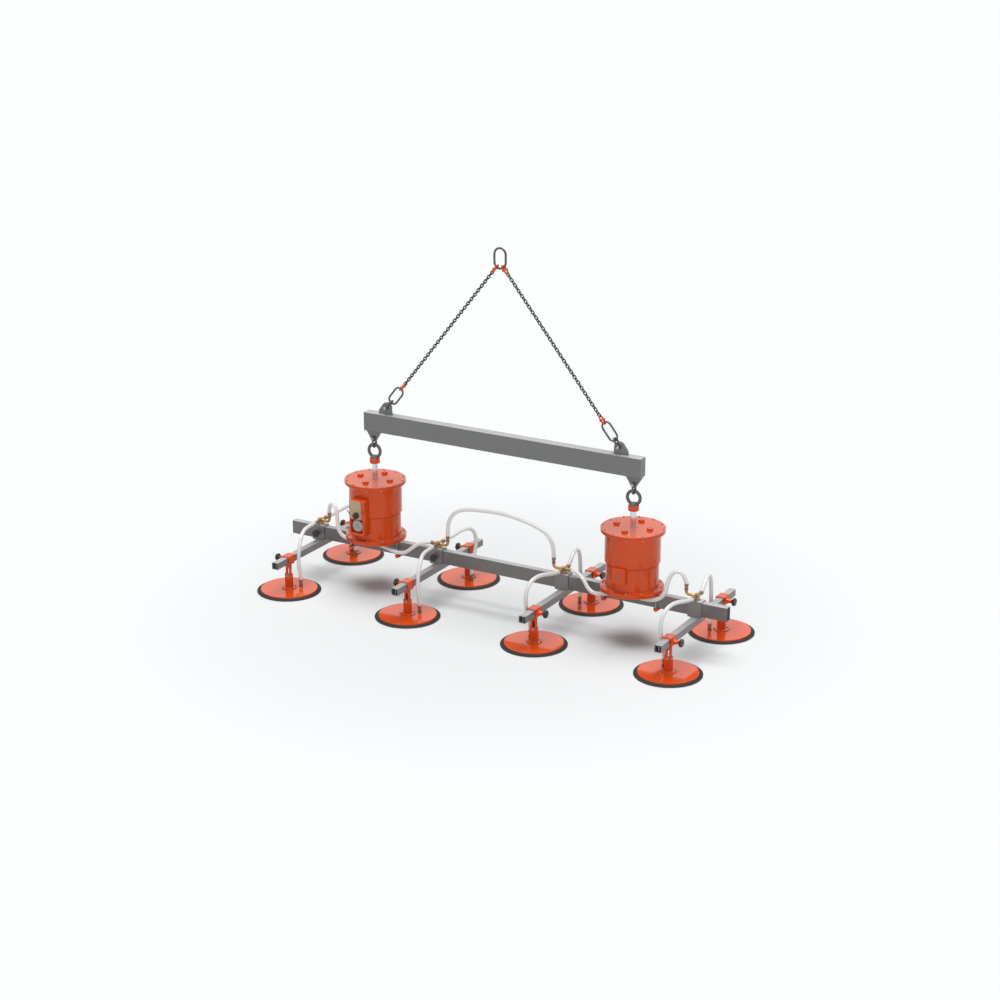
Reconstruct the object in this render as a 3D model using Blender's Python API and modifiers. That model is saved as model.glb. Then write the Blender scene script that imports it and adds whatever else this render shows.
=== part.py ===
"""Vacuum lifter: a chain sling and a spreader beam carry two piston cylinders on a main beam,
with four sliding cross arms and eight suction pads.

Metres, +Z up, +X along the beams, the operator's side is -Y. The origin is the seat of the
crane hook, inside the top of the master link.
"""
import math

import bmesh
import bpy
from mathutils import Matrix, Vector

# Clearances
GAP = 0.0003
LINK_PLAY = 0.0008
PIN_PLAY = 0.0007
WELD = 0.0015

# Master link and chain sling
MASTER_WIRE = 0.012
MASTER_INNER_LENGTH = 0.097
MASTER_INNER_WIDTH = 0.056
CHAIN_BAR = 0.0068
CHAIN_INNER_WIDTH = 0.0095
CHAIN_PITCH = 0.0168
CHAIN_LINKS = 53
COUPLING_WIRE = 0.0095
COUPLING_INNER_LENGTH = 0.041
COUPLING_INNER_WIDTH = 0.018
COUPLING_BUSH = 0.013
RING_WIRE = 0.011
RING_INNER_LENGTH = 0.100
RING_INNER_WIDTH = 0.041

# Shackles, all four alike
SHACKLE_WIRE = 0.012
SHACKLE_INNER_WIDTH = 0.020
SHACKLE_SEAT = 0.046
SHACKLE_PIN = 0.011
SHACKLE_EAR = 0.024
SHACKLE_HEAD = 0.018

# Spreader beam and its lugs
SPREADER_LENGTH = 1.710
SPREADER_HEIGHT = 0.106
SPREADER_WIDTH = 0.059
SPREADER_WALL = 0.005
DRAIN_HOLE = 0.010
UPPER_LUG_INSET = 0.1375
UPPER_LUG_RISE = 0.0388
UPPER_LUG_RADIUS = 0.029
UPPER_LUG_INNER = 0.0325
UPPER_LUG_OUTER = 0.0495
UPPER_LUG_SHOULDER = 0.020
LOWER_LUG_DROP = 0.0442
LOWER_LUG_RADIUS = 0.019
LOWER_LUG_HALF = 0.050
LUG_THICKNESS = 0.016

# Lifting eyes and piston rods
EYE_WIRE = 0.018
EYE_INNER_RADIUS = 0.028
EYE_PLAY = 0.0013
COLLAR_RADIUS = 0.029
COLLAR_HEIGHT = 0.030
COLLAR_DROP = 0.040
STUD_RADIUS = 0.010
STUD_LENGTH = 0.020
ROD_RADIUS = 0.016
ROD_SHOWING = 0.092
ROD_CLEARANCE = 0.001
PISTON_THICKNESS = 0.030
PISTON_CLEARANCE = 0.0015

# Cylinders
CYLINDER_HEIGHT = 0.344
CYLINDER_WALL = 0.005
FLANGE_RADIUS = 0.1722
UPPER_RADIUS = 0.1485
LOWER_RADIUS = 0.1412
STEP_DEPTH = 0.1855
BASE_RADIUS = 0.1706
BASE_THICKNESS = 0.010
FLANGE_THICKNESS = 0.010
LID_THICKNESS = 0.010
LID_BOSS_RADIUS = 0.0175
LID_BOSS_HEIGHT = 0.012
LID_BOSS_CIRCLE = 0.0975
GLAND_RADIUS = 0.027
GLAND_HEIGHT = 0.007
COVER_WIDTH = 0.077
COVER_HEIGHT = 0.087
COVER_STANDOFF = 0.021
COVER_DEPTH_BELOW_LID = 0.2253

# Tie rods that hold a cylinder down on the main beam
TIE_X = 0.155
TIE_SIDE_GAP = 0.002
TIE_RADIUS = 0.004
TIE_BAR_WIDTH = 0.018
TIE_BAR_HEIGHT = 0.010
TIE_END = 0.006

# Control box on the left cylinder
BOX_WIDTH = 0.098
BOX_HEIGHT = 0.208
BOX_STANDOFF = 0.0465
BOX_BELOW_LID = 0.0735
BOX_EDGE = 0.004
BOX_WALL = 0.003
POCKET_WIDTH = 0.076
POCKET_HEIGHT = 0.078
POCKET_DEPTH = 0.026
GAUGE_BELOW_LID = 0.225
GAUGE_RADIUS = 0.034
GAUGE_THICKNESS = 0.018
BEZEL_WIDTH = 0.003
DIAL_DEPTH = 0.004
NEEDLE_HUB = 0.004
NEEDLE_REACH = 0.025
NEEDLE_TAIL = 0.010
NEEDLE_WIDTH = 0.0018
NEEDLE_ANGLE = 45
SELECTOR_BELOW_LID = 0.161
SELECTOR_RADIUS = 0.018
SELECTOR_LENGTH = 0.016
SELECTOR_END_RADIUS = 0.0162
SELECTOR_BAR_WIDTH = 0.0072
SELECTOR_BAR_HEIGHT = 0.0288
SELECTOR_BAR_RISE = 0.0048
SELECTOR_STEM = 0.004
LEVER_BELOW_LID = 0.165
LEVER_SETBACK = 0.016
LEVER_HUB = 0.007
LEVER_ROD = 0.0025
LEVER_STEM = 0.003
LEVER_TIP = (0.0182, 0.0112, 0.0224)
CONTROL_STEM_LENGTH = 0.012

# Main beam
BEAM_LENGTH = 2.729
BEAM_HEIGHT = 0.078
BEAM_WIDTH = 0.040
BEAM_WALL = 0.004
STOP_PIN_RADIUS = 0.003
STOP_PIN_INSET = 0.012
STOP_PIN_PROUD = 0.0015

# Cross arms
ARM_END_INSET = 0.1815
INNER_ARM_X = 0.395
ARM_HALF_LENGTH = 0.4553
ARM_SIZE = 0.040
ARM_WALL = 0.003
SLEEVE_LENGTH = 0.080
SLEEVE_WALL = 0.005
SLEEVE_CLEARANCE = 0.0015
SLEEVE_FOOT = 0.0075
SADDLE_HEIGHT = 0.003
SADDLE_LENGTH = 0.034

# Star knobs and their bosses
KNOB_RADIUS = 0.0215
KNOB_LENGTH = 0.021
KNOB_LOBES = 6
KNOB_HOLLOW = 0.8
KNOB_STEM = 0.004
ARM_BOSS_HEIGHT = 0.012
BOSS_RADIUS = 0.0095
BOSS_HEIGHT = 0.030

# Clamps and their slotted straps
PAD_Y = 0.3266
CLAMP_CLEARANCE = 0.001
CLAMP_WALL = 0.005
CLAMP_TOP_HALF = 0.031
CLAMP_FOOT_HALF = 0.021
STRAP_WIDTH = 0.0345
STRAP_THICKNESS = 0.010
STRAP_SHOWN = 0.0637
STRAP_TAIL = 0.011
SLOT_WIDTH = 0.011
PAD_TRAVEL = 0.040

# Suction pads
DISC_RADIUS = 0.160
DISC_THICKNESS = 0.008
MAST_HEIGHT = 0.085
MAST_WIDTH = 0.042
MAST_DEPTH = 0.020
MAST_WALL = 0.003
MAST_CLEARANCE = 0.001
PAD_BOLT_RADIUS = 0.004
PAD_BOLT_DROP = 0.013
PAD_BOLT_HEAD = 0.0065
FOOT_RADIUS = 0.0445
FOOT_THICKNESS = 0.005
NIPPLE_X = 0.048
NIPPLE_Y = 0.047
NIPPLE_RADIUS = 0.0095
NIPPLE_HEIGHT = 0.040
SEAL_RADIUS = 0.180
SEAL_INNER_RADIUS = 0.142
SEAL_SHOULDER = 0.006
SEAL_DEPTH = 0.005

# Vacuum line
HOSE_DIAMETER = 0.022
BARB_RADIUS = 0.0085
ELBOW_RADIUS = 0.0078
BODY_RADIUS = 0.0125
MANIFOLD_RISE = 0.021
MANIFOLD_REACH = 0.060
MANIFOLD_OUTER = 0.048
ELBOW_REACH = 0.0615
ELBOW_RISE = 0.058
TEE_OFFSET = 0.060
TEE_DROP = 0.022
TEE_REACH = 0.055

# Facets round each form
SIDES_LARGE = 20
SIDES_PAD = 20
SIDES_BORE = 12
SIDES_SMALL = 8

# Places along the beams
UPPER_LUG_X = SPREADER_LENGTH / 2 - UPPER_LUG_INSET
CYLINDER_X = SPREADER_LENGTH / 2 - LOWER_LUG_HALF
OUTER_ARM_X = BEAM_LENGTH / 2 - ARM_END_INSET
ARM_X = (-OUTER_ARM_X, -INNER_ARM_X, INNER_ARM_X, OUTER_ARM_X)

# Heights from the hook seat downwards
LINK_ARC_Z = -(MASTER_INNER_LENGTH - MASTER_INNER_WIDTH / 2)
COUPLING_START = MASTER_INNER_WIDTH / 2 - LINK_PLAY
CHAIN_START = COUPLING_START + COUPLING_INNER_LENGTH + WELD
LOWER_COUPLING_START = CHAIN_START + CHAIN_LINKS * CHAIN_PITCH
RING_START = LOWER_COUPLING_START + COUPLING_INNER_LENGTH + WELD
LEG_REACH = RING_START + RING_INNER_LENGTH - LINK_PLAY + SHACKLE_SEAT
UPPER_PIN_Z = LINK_ARC_Z - math.sqrt(LEG_REACH**2 - UPPER_LUG_X**2)
SPREADER_TOP = UPPER_PIN_Z - UPPER_LUG_RISE
SPREADER_BOTTOM = SPREADER_TOP - SPREADER_HEIGHT
LOWER_PIN_Z = SPREADER_BOTTOM - LOWER_LUG_DROP
EYE_Z = LOWER_PIN_Z - SHACKLE_SEAT + EYE_PLAY - EYE_INNER_RADIUS
COLLAR_TOP = EYE_Z - COLLAR_DROP
COLLAR_BOTTOM = COLLAR_TOP - COLLAR_HEIGHT
LID_TOP = COLLAR_BOTTOM - ROD_SHOWING
LID_BOTTOM = LID_TOP - LID_THICKNESS
FLANGE_TOP = LID_BOTTOM - GAP
STEP_Z = LID_TOP - STEP_DEPTH
BASE_BOTTOM = LID_TOP - CYLINDER_HEIGHT
BEAM_TOP = BASE_BOTTOM - GAP
BEAM_BOTTOM = BEAM_TOP - BEAM_HEIGHT
BEAM_MIDDLE = (BEAM_TOP + BEAM_BOTTOM) / 2
SLEEVE_HALF = BEAM_WIDTH / 2 + SLEEVE_CLEARANCE + SLEEVE_WALL
SLEEVE_TOP = BEAM_TOP + SLEEVE_CLEARANCE + SLEEVE_WALL
SLEEVE_BOTTOM = BEAM_BOTTOM - SLEEVE_CLEARANCE - SLEEVE_FOOT
ARM_TOP = SLEEVE_BOTTOM + WELD
ARM_BOTTOM = ARM_TOP - ARM_SIZE
ARM_MIDDLE = (ARM_TOP + ARM_BOTTOM) / 2
MAST_TOP = ARM_BOTTOM - STRAP_SHOWN
DISC_TOP = MAST_TOP - MAST_HEIGHT
DISC_BOTTOM = DISC_TOP - DISC_THICKNESS
PAD_BOLT_Z = MAST_TOP - PAD_BOLT_DROP
STRAP_BOTTOM = PAD_BOLT_Z - STRAP_TAIL
NIPPLE_TOP = DISC_TOP + NIPPLE_HEIGHT
SEAL_TOP = DISC_TOP - SEAL_SHOULDER
SEAL_BOTTOM = DISC_BOTTOM - SEAL_DEPTH
MANIFOLD_Z = SLEEVE_TOP + MANIFOLD_RISE
TEE_Z = BASE_BOTTOM - TEE_DROP

# Derived half sizes that several pieces share
SHACKLE_ARM = (SHACKLE_INNER_WIDTH + SHACKLE_WIRE) / 2
BOW_CENTRE = SHACKLE_SEAT + SHACKLE_WIRE / 2 - SHACKLE_ARM
EYE_MEAN_RADIUS = EYE_INNER_RADIUS + EYE_WIRE / 2
TIE_Y = BEAM_WIDTH / 2 + TIE_SIDE_GAP + TIE_RADIUS
CLAMP_HALF = ARM_SIZE / 2 + CLAMP_CLEARANCE + CLAMP_WALL
BOX_FRONT = -(UPPER_RADIUS + BOX_STANDOFF)
BOX_TOP = LID_TOP - BOX_BELOW_LID
BOX_BOTTOM = BOX_TOP - BOX_HEIGHT
GAUGE_Z = LID_TOP - GAUGE_BELOW_LID
POCKET_FLOOR = BOX_FRONT + POCKET_DEPTH
GAUGE_FRONT = POCKET_FLOOR - GAP - GAUGE_THICKNESS
DIAL_Y = GAUGE_FRONT + DIAL_DEPTH
BORE_RADIUS = UPPER_RADIUS - CYLINDER_WALL
CHAIN_INNER_LENGTH = CHAIN_PITCH - WELD
CHAIN_MITRED = CHAIN_BAR * math.cos(math.pi / 4)
LEFT = -1
RIGHT = 1

# Colours as linear RGB, with roughness and metallic
FINISHES = {
    "grey_paint": ((0.20, 0.21, 0.21), 0.45, 0.3),
    "orange_paint": ((0.62, 0.085, 0.015), 0.35, 0.0),
    "chain_steel": ((0.12, 0.12, 0.11), 0.45, 0.8),
    "chrome": ((0.60, 0.60, 0.60), 0.15, 1.0),
    "black_plastic": ((0.012, 0.012, 0.012), 0.5, 0.0),
    "black_rubber": ((0.02, 0.02, 0.02), 0.8, 0.0),
    "gauge_white": ((0.75, 0.75, 0.75), 0.4, 0.0),
    "clear_hose": ((0.70, 0.70, 0.68), 0.3, 0.0),
}


def new_collection(name):
    collection = bpy.data.collections.new(name)
    bpy.context.scene.collection.children.link(collection)
    return collection


def clear_scene():
    for obj in list(bpy.data.objects):
        bpy.data.objects.remove(obj, do_unlink=True)


def make_materials():
    made = {}
    for name, (colour, roughness, metallic) in FINISHES.items():
        material = bpy.data.materials.new(name)
        material.use_nodes = True
        shader = material.node_tree.nodes["Principled BSDF"]
        shader.inputs["Base Color"].default_value = (*colour, 1.0)
        shader.inputs["Roughness"].default_value = roughness
        shader.inputs["Metallic"].default_value = metallic
        material.diffuse_color = (*colour, 1.0)
        made[name] = material
    return made


clear_scene()
PARTS = new_collection("vacuum_lifter")
CUTTERS = new_collection("cutters")
MATERIALS = make_materials()
BODIES = {}


# Working shapes, all in world coordinates
def working(name, mesh):
    """A new object in the cutters' collection."""
    obj = bpy.data.objects.new(name, mesh)
    obj.hide_render = True
    obj.display_type = "WIRE"
    CUTTERS.objects.link(obj)
    return obj


def from_bmesh(name, bm):
    bmesh.ops.recalc_face_normals(bm, faces=bm.faces)
    mesh = bpy.data.meshes.new(name)
    bm.to_mesh(mesh)
    bm.free()
    return working(name, mesh)


def evaluated(obj):
    """The object as a plain mesh: its modifiers or its curve settled, doubles welded."""
    graph = bpy.context.evaluated_depsgraph_get()
    mesh = bpy.data.meshes.new_from_object(obj.evaluated_get(graph))
    mesh.transform(obj.matrix_world)
    bm = bmesh.new()
    bm.from_mesh(mesh)
    bmesh.ops.remove_doubles(bm, verts=bm.verts, dist=1e-6)
    name = obj.name
    bpy.data.objects.remove(obj, do_unlink=True)
    return from_bmesh(name, bm)


def box(low, high):
    """A block between two corners."""
    low, high = Vector(low), Vector(high)
    bm = bmesh.new()
    place = Matrix.Translation((low + high) / 2) @ Matrix.Diagonal((*(high - low), 1.0))
    bmesh.ops.create_cube(bm, size=1.0, matrix=place)
    return from_bmesh("box", bm)


def rod(radius, start, end, sides=SIDES_SMALL, end_radius=None):
    """A round bar or a cone between two points."""
    start, end = Vector(start), Vector(end)
    axis = end - start
    turn = axis.to_track_quat("Z", "Y").to_matrix().to_4x4()
    place = Matrix.Translation((start + end) / 2) @ turn
    bm = bmesh.new()
    bmesh.ops.create_cone(
        bm,
        cap_ends=True,
        segments=sides,
        radius1=radius,
        radius2=radius if end_radius is None else end_radius,
        depth=axis.length,
        matrix=place,
    )
    return from_bmesh("rod", bm)


def turned(profile, centre, sides, closed=False):
    """A profile of (radius, height) turned round the vertical line through centre."""
    count = len(profile)
    edges = [(i, i + 1) for i in range(count - 1)] + ([(count - 1, 0)] if closed else [])
    mesh = bpy.data.meshes.new("turned")
    mesh.from_pydata([(radius, 0.0, height) for radius, height in profile], edges, [])
    obj = working("turned", mesh)
    screw = obj.modifiers.new("Screw", "SCREW")
    screw.steps = sides
    screw.render_steps = sides
    screw.use_merge_vertices = True
    screw.merge_threshold = 0.00001
    obj.location = centre
    bpy.context.view_layer.update()
    return evaluated(obj)


def plate(outline, thickness, place):
    """A flat outline in the local XY plane, extruded evenly to both sides."""
    curve = bpy.data.curves.new("plate", "CURVE")
    curve.dimensions = "2D"
    curve.fill_mode = "BOTH"
    curve.extrude = thickness / 2
    spline = curve.splines.new("POLY")
    spline.points.add(len(outline) - 1)
    for point, (across, up) in zip(spline.points, outline):
        point.co = (across, up, 0.0, 1.0)
    spline.use_cyclic_u = True
    obj = working("plate", curve)
    obj.matrix_world = place
    bpy.context.view_layer.update()
    return evaluated(obj)


def wire(points, diameter, cyclic=False, roundness=1, tilt=0.0, place=None):
    """A round wire or hose along points, or with roundness 0 a square one, turned by tilt."""
    curve = bpy.data.curves.new("wire", "CURVE")
    curve.dimensions = "3D"
    curve.bevel_depth = diameter / 2
    curve.bevel_resolution = roundness
    curve.use_fill_caps = not cyclic
    spline = curve.splines.new("POLY")
    spline.points.add(len(points) - 1)
    for point, spot in zip(spline.points, points):
        point.co = (*spot, 1.0)
        point.tilt = tilt
    spline.use_cyclic_u = cyclic
    obj = working("wire", curve)
    if place:
        obj.matrix_world = place
    bpy.context.view_layer.update()
    return evaluated(obj)


def gathered(objects):
    """Shapes that don't meet, in one mesh."""
    bm = bmesh.new()
    for obj in objects:
        bm.from_mesh(obj.data)
        bpy.data.objects.remove(obj, do_unlink=True)
    return from_bmesh("gathered", bm)


def combined(base, others, operation):
    for other in others:
        modifier = base.modifiers.new(operation.title(), "BOOLEAN")
        modifier.operation = operation
        modifier.solver = "EXACT"
        modifier.object = other
    bpy.context.view_layer.update()
    result = evaluated(base)
    for other in others:
        bpy.data.objects.remove(other, do_unlink=True)
    return result


def united(base, *others):
    return combined(base, others, "UNION")


def cut(base, *others):
    return combined(base, others, "DIFFERENCE")


# Bodies and nodes
def body(name, origin, parent=None):
    """An empty on the joint's axis, which carries the pieces that move together."""
    empty = bpy.data.objects.new(name, None)
    empty.empty_display_size = 0.05
    empty["place"] = tuple(origin)
    PARTS.objects.link(empty)
    empty.location = origin
    if parent:
        empty.parent = BODIES[parent]
        empty.location = Vector(origin) - Vector(BODIES[parent]["place"])
    BODIES[name] = empty


def node(name, shape, body_name, material, smooth_angle=35.0):
    """Names a finished shape, puts its origin on its body's axis and gives it its material."""
    origin = Vector(BODIES[body_name]["place"])
    shape.data.transform(Matrix.Translation(-origin))
    shape.data.name = name
    shape.data.materials.append(MATERIALS[material])
    shape.data.shade_smooth()
    shape.data.set_sharp_from_angle(angle=math.radians(smooth_angle))
    CUTTERS.objects.unlink(shape)
    PARTS.objects.link(shape)
    shape.name = name
    shape.hide_render = False
    shape.display_type = "TEXTURED"
    shape.parent = BODIES[body_name]


# Outlines
def arc(centre, radius, start, end, steps):
    """Points round an arc, angles in degrees."""
    points = []
    for i in range(steps + 1):
        angle = math.radians(start + (end - start) * i / steps)
        points.append((centre[0] + radius * math.cos(angle), centre[1] + radius * math.sin(angle)))
    return points


def oval(start, inner_length, inner_width, thickness, steps):
    """The mean line of an oval link as (across, along), its inner end at start."""
    radius = (inner_width + thickness) / 2
    crown = radius * (math.cos(math.pi / 2 / steps) if steps % 2 else 1.0)
    near = start - thickness / 2 + crown
    far = start + inner_length + thickness / 2 - crown
    return arc((0, far), radius, 0, 180, steps) + arc((0, near), radius, 180, 360, steps)


def slot_outline(bottom, top, width, steps=4):
    """An upright slot between the centres of its two round ends."""
    return arc((0, top), width / 2, 0, 180, steps) + arc((0, bottom), width / 2, 180, 360, steps)


def star_outline(radius, lobes):
    """The lobed rim of a star knob."""
    points = []
    for i in range(lobes * 2):
        angle = math.pi * i / lobes
        points.append((radius if i % 2 else KNOB_HOLLOW * radius, angle))
    return [(r * math.cos(a), r * math.sin(a)) for r, a in points]


def tangent_angle(point, centre, radius, side):
    """The angle, about centre, where a line from point touches the circle on the given side."""
    across, up = point[0] - centre[0], point[1] - centre[1]
    spread = math.acos(radius / math.hypot(across, up))
    return math.degrees(math.atan2(up, across) + side * spread)


# Planes that outlines are drawn in: local X, local Y, and the way the thickness goes
def upright(centre):
    """Outline X is world X, outline Y is world Z, thickness along Y."""
    return Matrix.Translation(centre) @ Matrix(((1, 0, 0, 0), (0, 0, -1, 0), (0, 1, 0, 0), (0, 0, 0, 1)))


def sideways(centre):
    """Outline X is world Y, outline Y is world Z, thickness along X."""
    return Matrix.Translation(centre) @ Matrix(((0, 0, 1, 0), (1, 0, 0, 0), (0, 1, 0, 0), (0, 0, 0, 1)))


def side_name(side):
    return "left" if side == LEFT else "right"


# Master link
def build_master_link():
    line = oval(0.0, MASTER_INNER_LENGTH, MASTER_INNER_WIDTH, MASTER_WIRE, 8)
    link = wire([(x, 0.0, -along) for x, along in line], MASTER_WIRE, cyclic=True, roundness=2)
    node("master_link", link, "hook_point", "grey_paint")


# One leg of the sling: coupling, chain, coupling and oval ring, each link seated in the next
def leg_direction(side):
    return Vector((side * UPPER_LUG_X, 0.0, UPPER_PIN_Z - LINK_ARC_Z)).normalized()


def link_width(side, edge_on):
    """The way a link is wide: in the plane of the sling, or edge on to it."""
    down = leg_direction(side)
    return Vector((0.0, 1.0, 0.0)) if edge_on else Vector((down.z, 0.0, -down.x))


def oval_link(side, edge_on, start, inner_length, inner_width, thickness, steps):
    """A round-wire oval on the leg's line."""
    down = leg_direction(side)
    width = link_width(side, edge_on)
    top = Vector((0.0, 0.0, LINK_ARC_Z))
    line = oval(start, inner_length, inner_width, thickness, steps)
    points = [top + down * along + width * across for across, along in line]
    return wire(points, thickness, cyclic=True)


def chain_link(side, number):
    """One short link of square bar, turned a quarter from the one before it."""
    down = leg_direction(side)
    width = link_width(side, number % 2 == 1)
    place = Matrix((width, down, width.cross(down))).transposed().to_4x4()
    middle = CHAIN_START + number * CHAIN_PITCH + CHAIN_INNER_LENGTH / 2
    place.translation = Vector((0.0, 0.0, LINK_ARC_Z)) + down * middle
    x = (CHAIN_INNER_WIDTH + CHAIN_MITRED) / 2
    y = (CHAIN_INNER_LENGTH + CHAIN_MITRED) / 2
    corners = [(x, y, 0.0), (-x, y, 0.0), (-x, -y, 0.0), (x, -y, 0.0)]
    return wire(corners, CHAIN_BAR * math.sqrt(2), True, 0, math.pi / 4, place)


def coupling(side, start):
    """A coupling link, with the bush across its middle that keeps its two bights apart."""
    down = leg_direction(side)
    ring = oval_link(side, True, start, COUPLING_INNER_LENGTH, COUPLING_INNER_WIDTH, COUPLING_WIRE, 4)
    middle = Vector((0.0, 0.0, LINK_ARC_Z)) + down * (start + COUPLING_INNER_LENGTH / 2)
    reach = Vector((0.0, (COUPLING_INNER_WIDTH + COUPLING_WIRE) / 2, 0.0))
    return united(ring, rod(COUPLING_BUSH / 2, middle - reach, middle + reach, 6))


def build_leg(side):
    ring = oval_link(side, False, RING_START, RING_INNER_LENGTH, RING_INNER_WIDTH, RING_WIRE, 4)
    links = [coupling(side, COUPLING_START)]
    links += [chain_link(side, number) for number in range(CHAIN_LINKS)]
    links += [coupling(side, LOWER_COUPLING_START), ring]
    chain = united(gathered(links[0::2]), gathered(links[1::2]))
    node(f"{side_name(side)}_chain_leg", chain, "sling", "chain_steel")


# Shackles
def shackle(pin, toward):
    """A shackle with its pin along Y at pin and its bow in the direction toward."""
    pin, toward = Vector(pin), Vector(toward).normalized()
    across = Vector((0.0, 1.0, 0.0))
    line = [(SHACKLE_ARM, 0.0), *arc((0, BOW_CENTRE), SHACKLE_ARM, 0, 180, 4), (-SHACKLE_ARM, 0.0)]
    bow = wire([pin + across * y + toward * along for y, along in line], SHACKLE_WIRE)
    outer = SHACKLE_ARM + SHACKLE_WIRE / 2
    inner = SHACKLE_INNER_WIDTH / 2
    ears = [
        rod(SHACKLE_EAR / 2, pin + across * sign * inner, pin + across * sign * outer)
        for sign in (-1, 1)
    ]
    proud = SHACKLE_WIRE / 2
    shank = rod(SHACKLE_PIN / 2, pin - across * outer, pin + across * (outer + proud / 2), 10)
    head = rod(SHACKLE_HEAD / 2, pin - across * (outer + proud), pin - across * (outer - proud / 2))
    return united(bow, *ears, shank, head)


def build_shackles():
    for side in (LEFT, RIGHT):
        upper_pin = (side * UPPER_LUG_X, 0.0, UPPER_PIN_Z)
        upper = shackle(upper_pin, -leg_direction(side))
        node(f"{side_name(side)}_upper_shackle", upper, "spreader", "chain_steel")
        lower = shackle((side * CYLINDER_X, 0.0, LOWER_PIN_Z), (0.0, 0.0, -1.0))
        node(f"{side_name(side)}_lower_shackle", lower, f"{side_name(side)}_hanger", "chain_steel")


# Spreader beam
def upper_lug(side):
    """A thick plate lug, slanted on its outer side and upright on its inner side."""
    hole = (0.0, UPPER_LUG_RISE)
    shoulder = (UPPER_LUG_OUTER, UPPER_LUG_SHOULDER)
    start = tangent_angle(shoulder, hole, UPPER_LUG_RADIUS, 1)
    end = tangent_angle((-UPPER_LUG_INNER, 0.0), hole, UPPER_LUG_RADIUS, -1) + 360
    outline = [(-UPPER_LUG_INNER, -SPREADER_WALL / 2), (UPPER_LUG_OUTER, -SPREADER_WALL / 2), shoulder]
    outline += arc(hole, UPPER_LUG_RADIUS, start, end, 6)
    outline = [(side * x, z) for x, z in outline]
    return plate(outline, LUG_THICKNESS, upright((side * UPPER_LUG_X, 0.0, SPREADER_TOP)))


def lower_lug(side):
    """A tapered plate lug below the beam, flush with the beam's end."""
    hole = (0.0, -LOWER_LUG_DROP)
    start = tangent_angle((LOWER_LUG_HALF, 0.0), hole, LOWER_LUG_RADIUS, -1)
    sink = SPREADER_WALL / 2
    outline = [(-LOWER_LUG_HALF, sink), (-LOWER_LUG_HALF, 0.0)]
    outline += arc(hole, LOWER_LUG_RADIUS, -180 - start, start, 6)
    outline += [(LOWER_LUG_HALF, 0.0), (LOWER_LUG_HALF, sink)]
    return plate(outline, LUG_THICKNESS, upright((side * CYLINDER_X, 0.0, SPREADER_BOTTOM)))


def build_spreader():
    half, width = SPREADER_LENGTH / 2, SPREADER_WIDTH / 2
    wall = SPREADER_WALL
    beam = box((-half, -width, SPREADER_BOTTOM), (half, width, SPREADER_TOP))
    hollow = box(
        (-half + wall, -width + wall, SPREADER_BOTTOM + wall),
        (half - wall, width - wall, SPREADER_TOP - wall),
    )
    drains = [
        rod(DRAIN_HOLE / 2, (x, 0.0, SPREADER_BOTTOM - wall), (x, 0.0, SPREADER_BOTTOM + 2 * wall), 8)
        for x in (-UPPER_LUG_X / 2, UPPER_LUG_X / 2)
    ]
    beam = cut(beam, hollow, *drains)
    beam = united(beam, upper_lug(LEFT), upper_lug(RIGHT), lower_lug(LEFT), lower_lug(RIGHT))
    bore = SHACKLE_PIN / 2 + PIN_PLAY
    holes = []
    for side in (LEFT, RIGHT):
        for x, z in ((side * UPPER_LUG_X, UPPER_PIN_Z), (side * CYLINDER_X, LOWER_PIN_Z)):
            holes.append(rod(bore, (x, -LUG_THICKNESS, z), (x, LUG_THICKNESS, z), SIDES_BORE))
    node("spreader_beam", cut(beam, *holes), "spreader", "grey_paint")


# Lifting eyes and piston rods
def build_eye(side):
    """An eye nut: a ring on a round collar, bored for the rod's stud."""
    x = side * CYLINDER_X
    line = arc((x, EYE_Z), EYE_MEAN_RADIUS, 0, 360, 14)[:-1]
    ring = wire([(px, 0.0, pz) for px, pz in line], EYE_WIRE, cyclic=True)
    collar = rod(COLLAR_RADIUS, (x, 0.0, COLLAR_BOTTOM), (x, 0.0, COLLAR_TOP), SIDES_BORE)
    bore_top = COLLAR_BOTTOM + STUD_LENGTH + GAP
    bore = rod(STUD_RADIUS + GAP, (x, 0.0, COLLAR_BOTTOM - STUD_LENGTH), (x, 0.0, bore_top), SIDES_BORE)
    word = side_name(side)
    node(f"{word}_lifting_eye", cut(united(ring, collar), bore), f"{word}_rod", "grey_paint")


def build_piston_rod(side):
    """The chromed rod with its threaded stud and the piston at its foot."""
    piston_top = LID_BOTTOM - ROD_CLEARANCE
    piston_radius = BORE_RADIUS - PISTON_CLEARANCE
    profile = [
        (0.0, COLLAR_BOTTOM + STUD_LENGTH),
        (STUD_RADIUS - GAP, COLLAR_BOTTOM + STUD_LENGTH),
        (STUD_RADIUS - GAP, COLLAR_BOTTOM - GAP),
        (ROD_RADIUS, COLLAR_BOTTOM - GAP),
        (ROD_RADIUS, piston_top),
        (piston_radius, piston_top),
        (piston_radius, piston_top - PISTON_THICKNESS),
        (0.0, piston_top - PISTON_THICKNESS),
    ]
    shape = turned(profile, (side * CYLINDER_X, 0.0, 0.0), SIDES_LARGE)
    node(f"{side_name(side)}_piston_rod", shape, f"{side_name(side)}_rod", "chrome")


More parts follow.
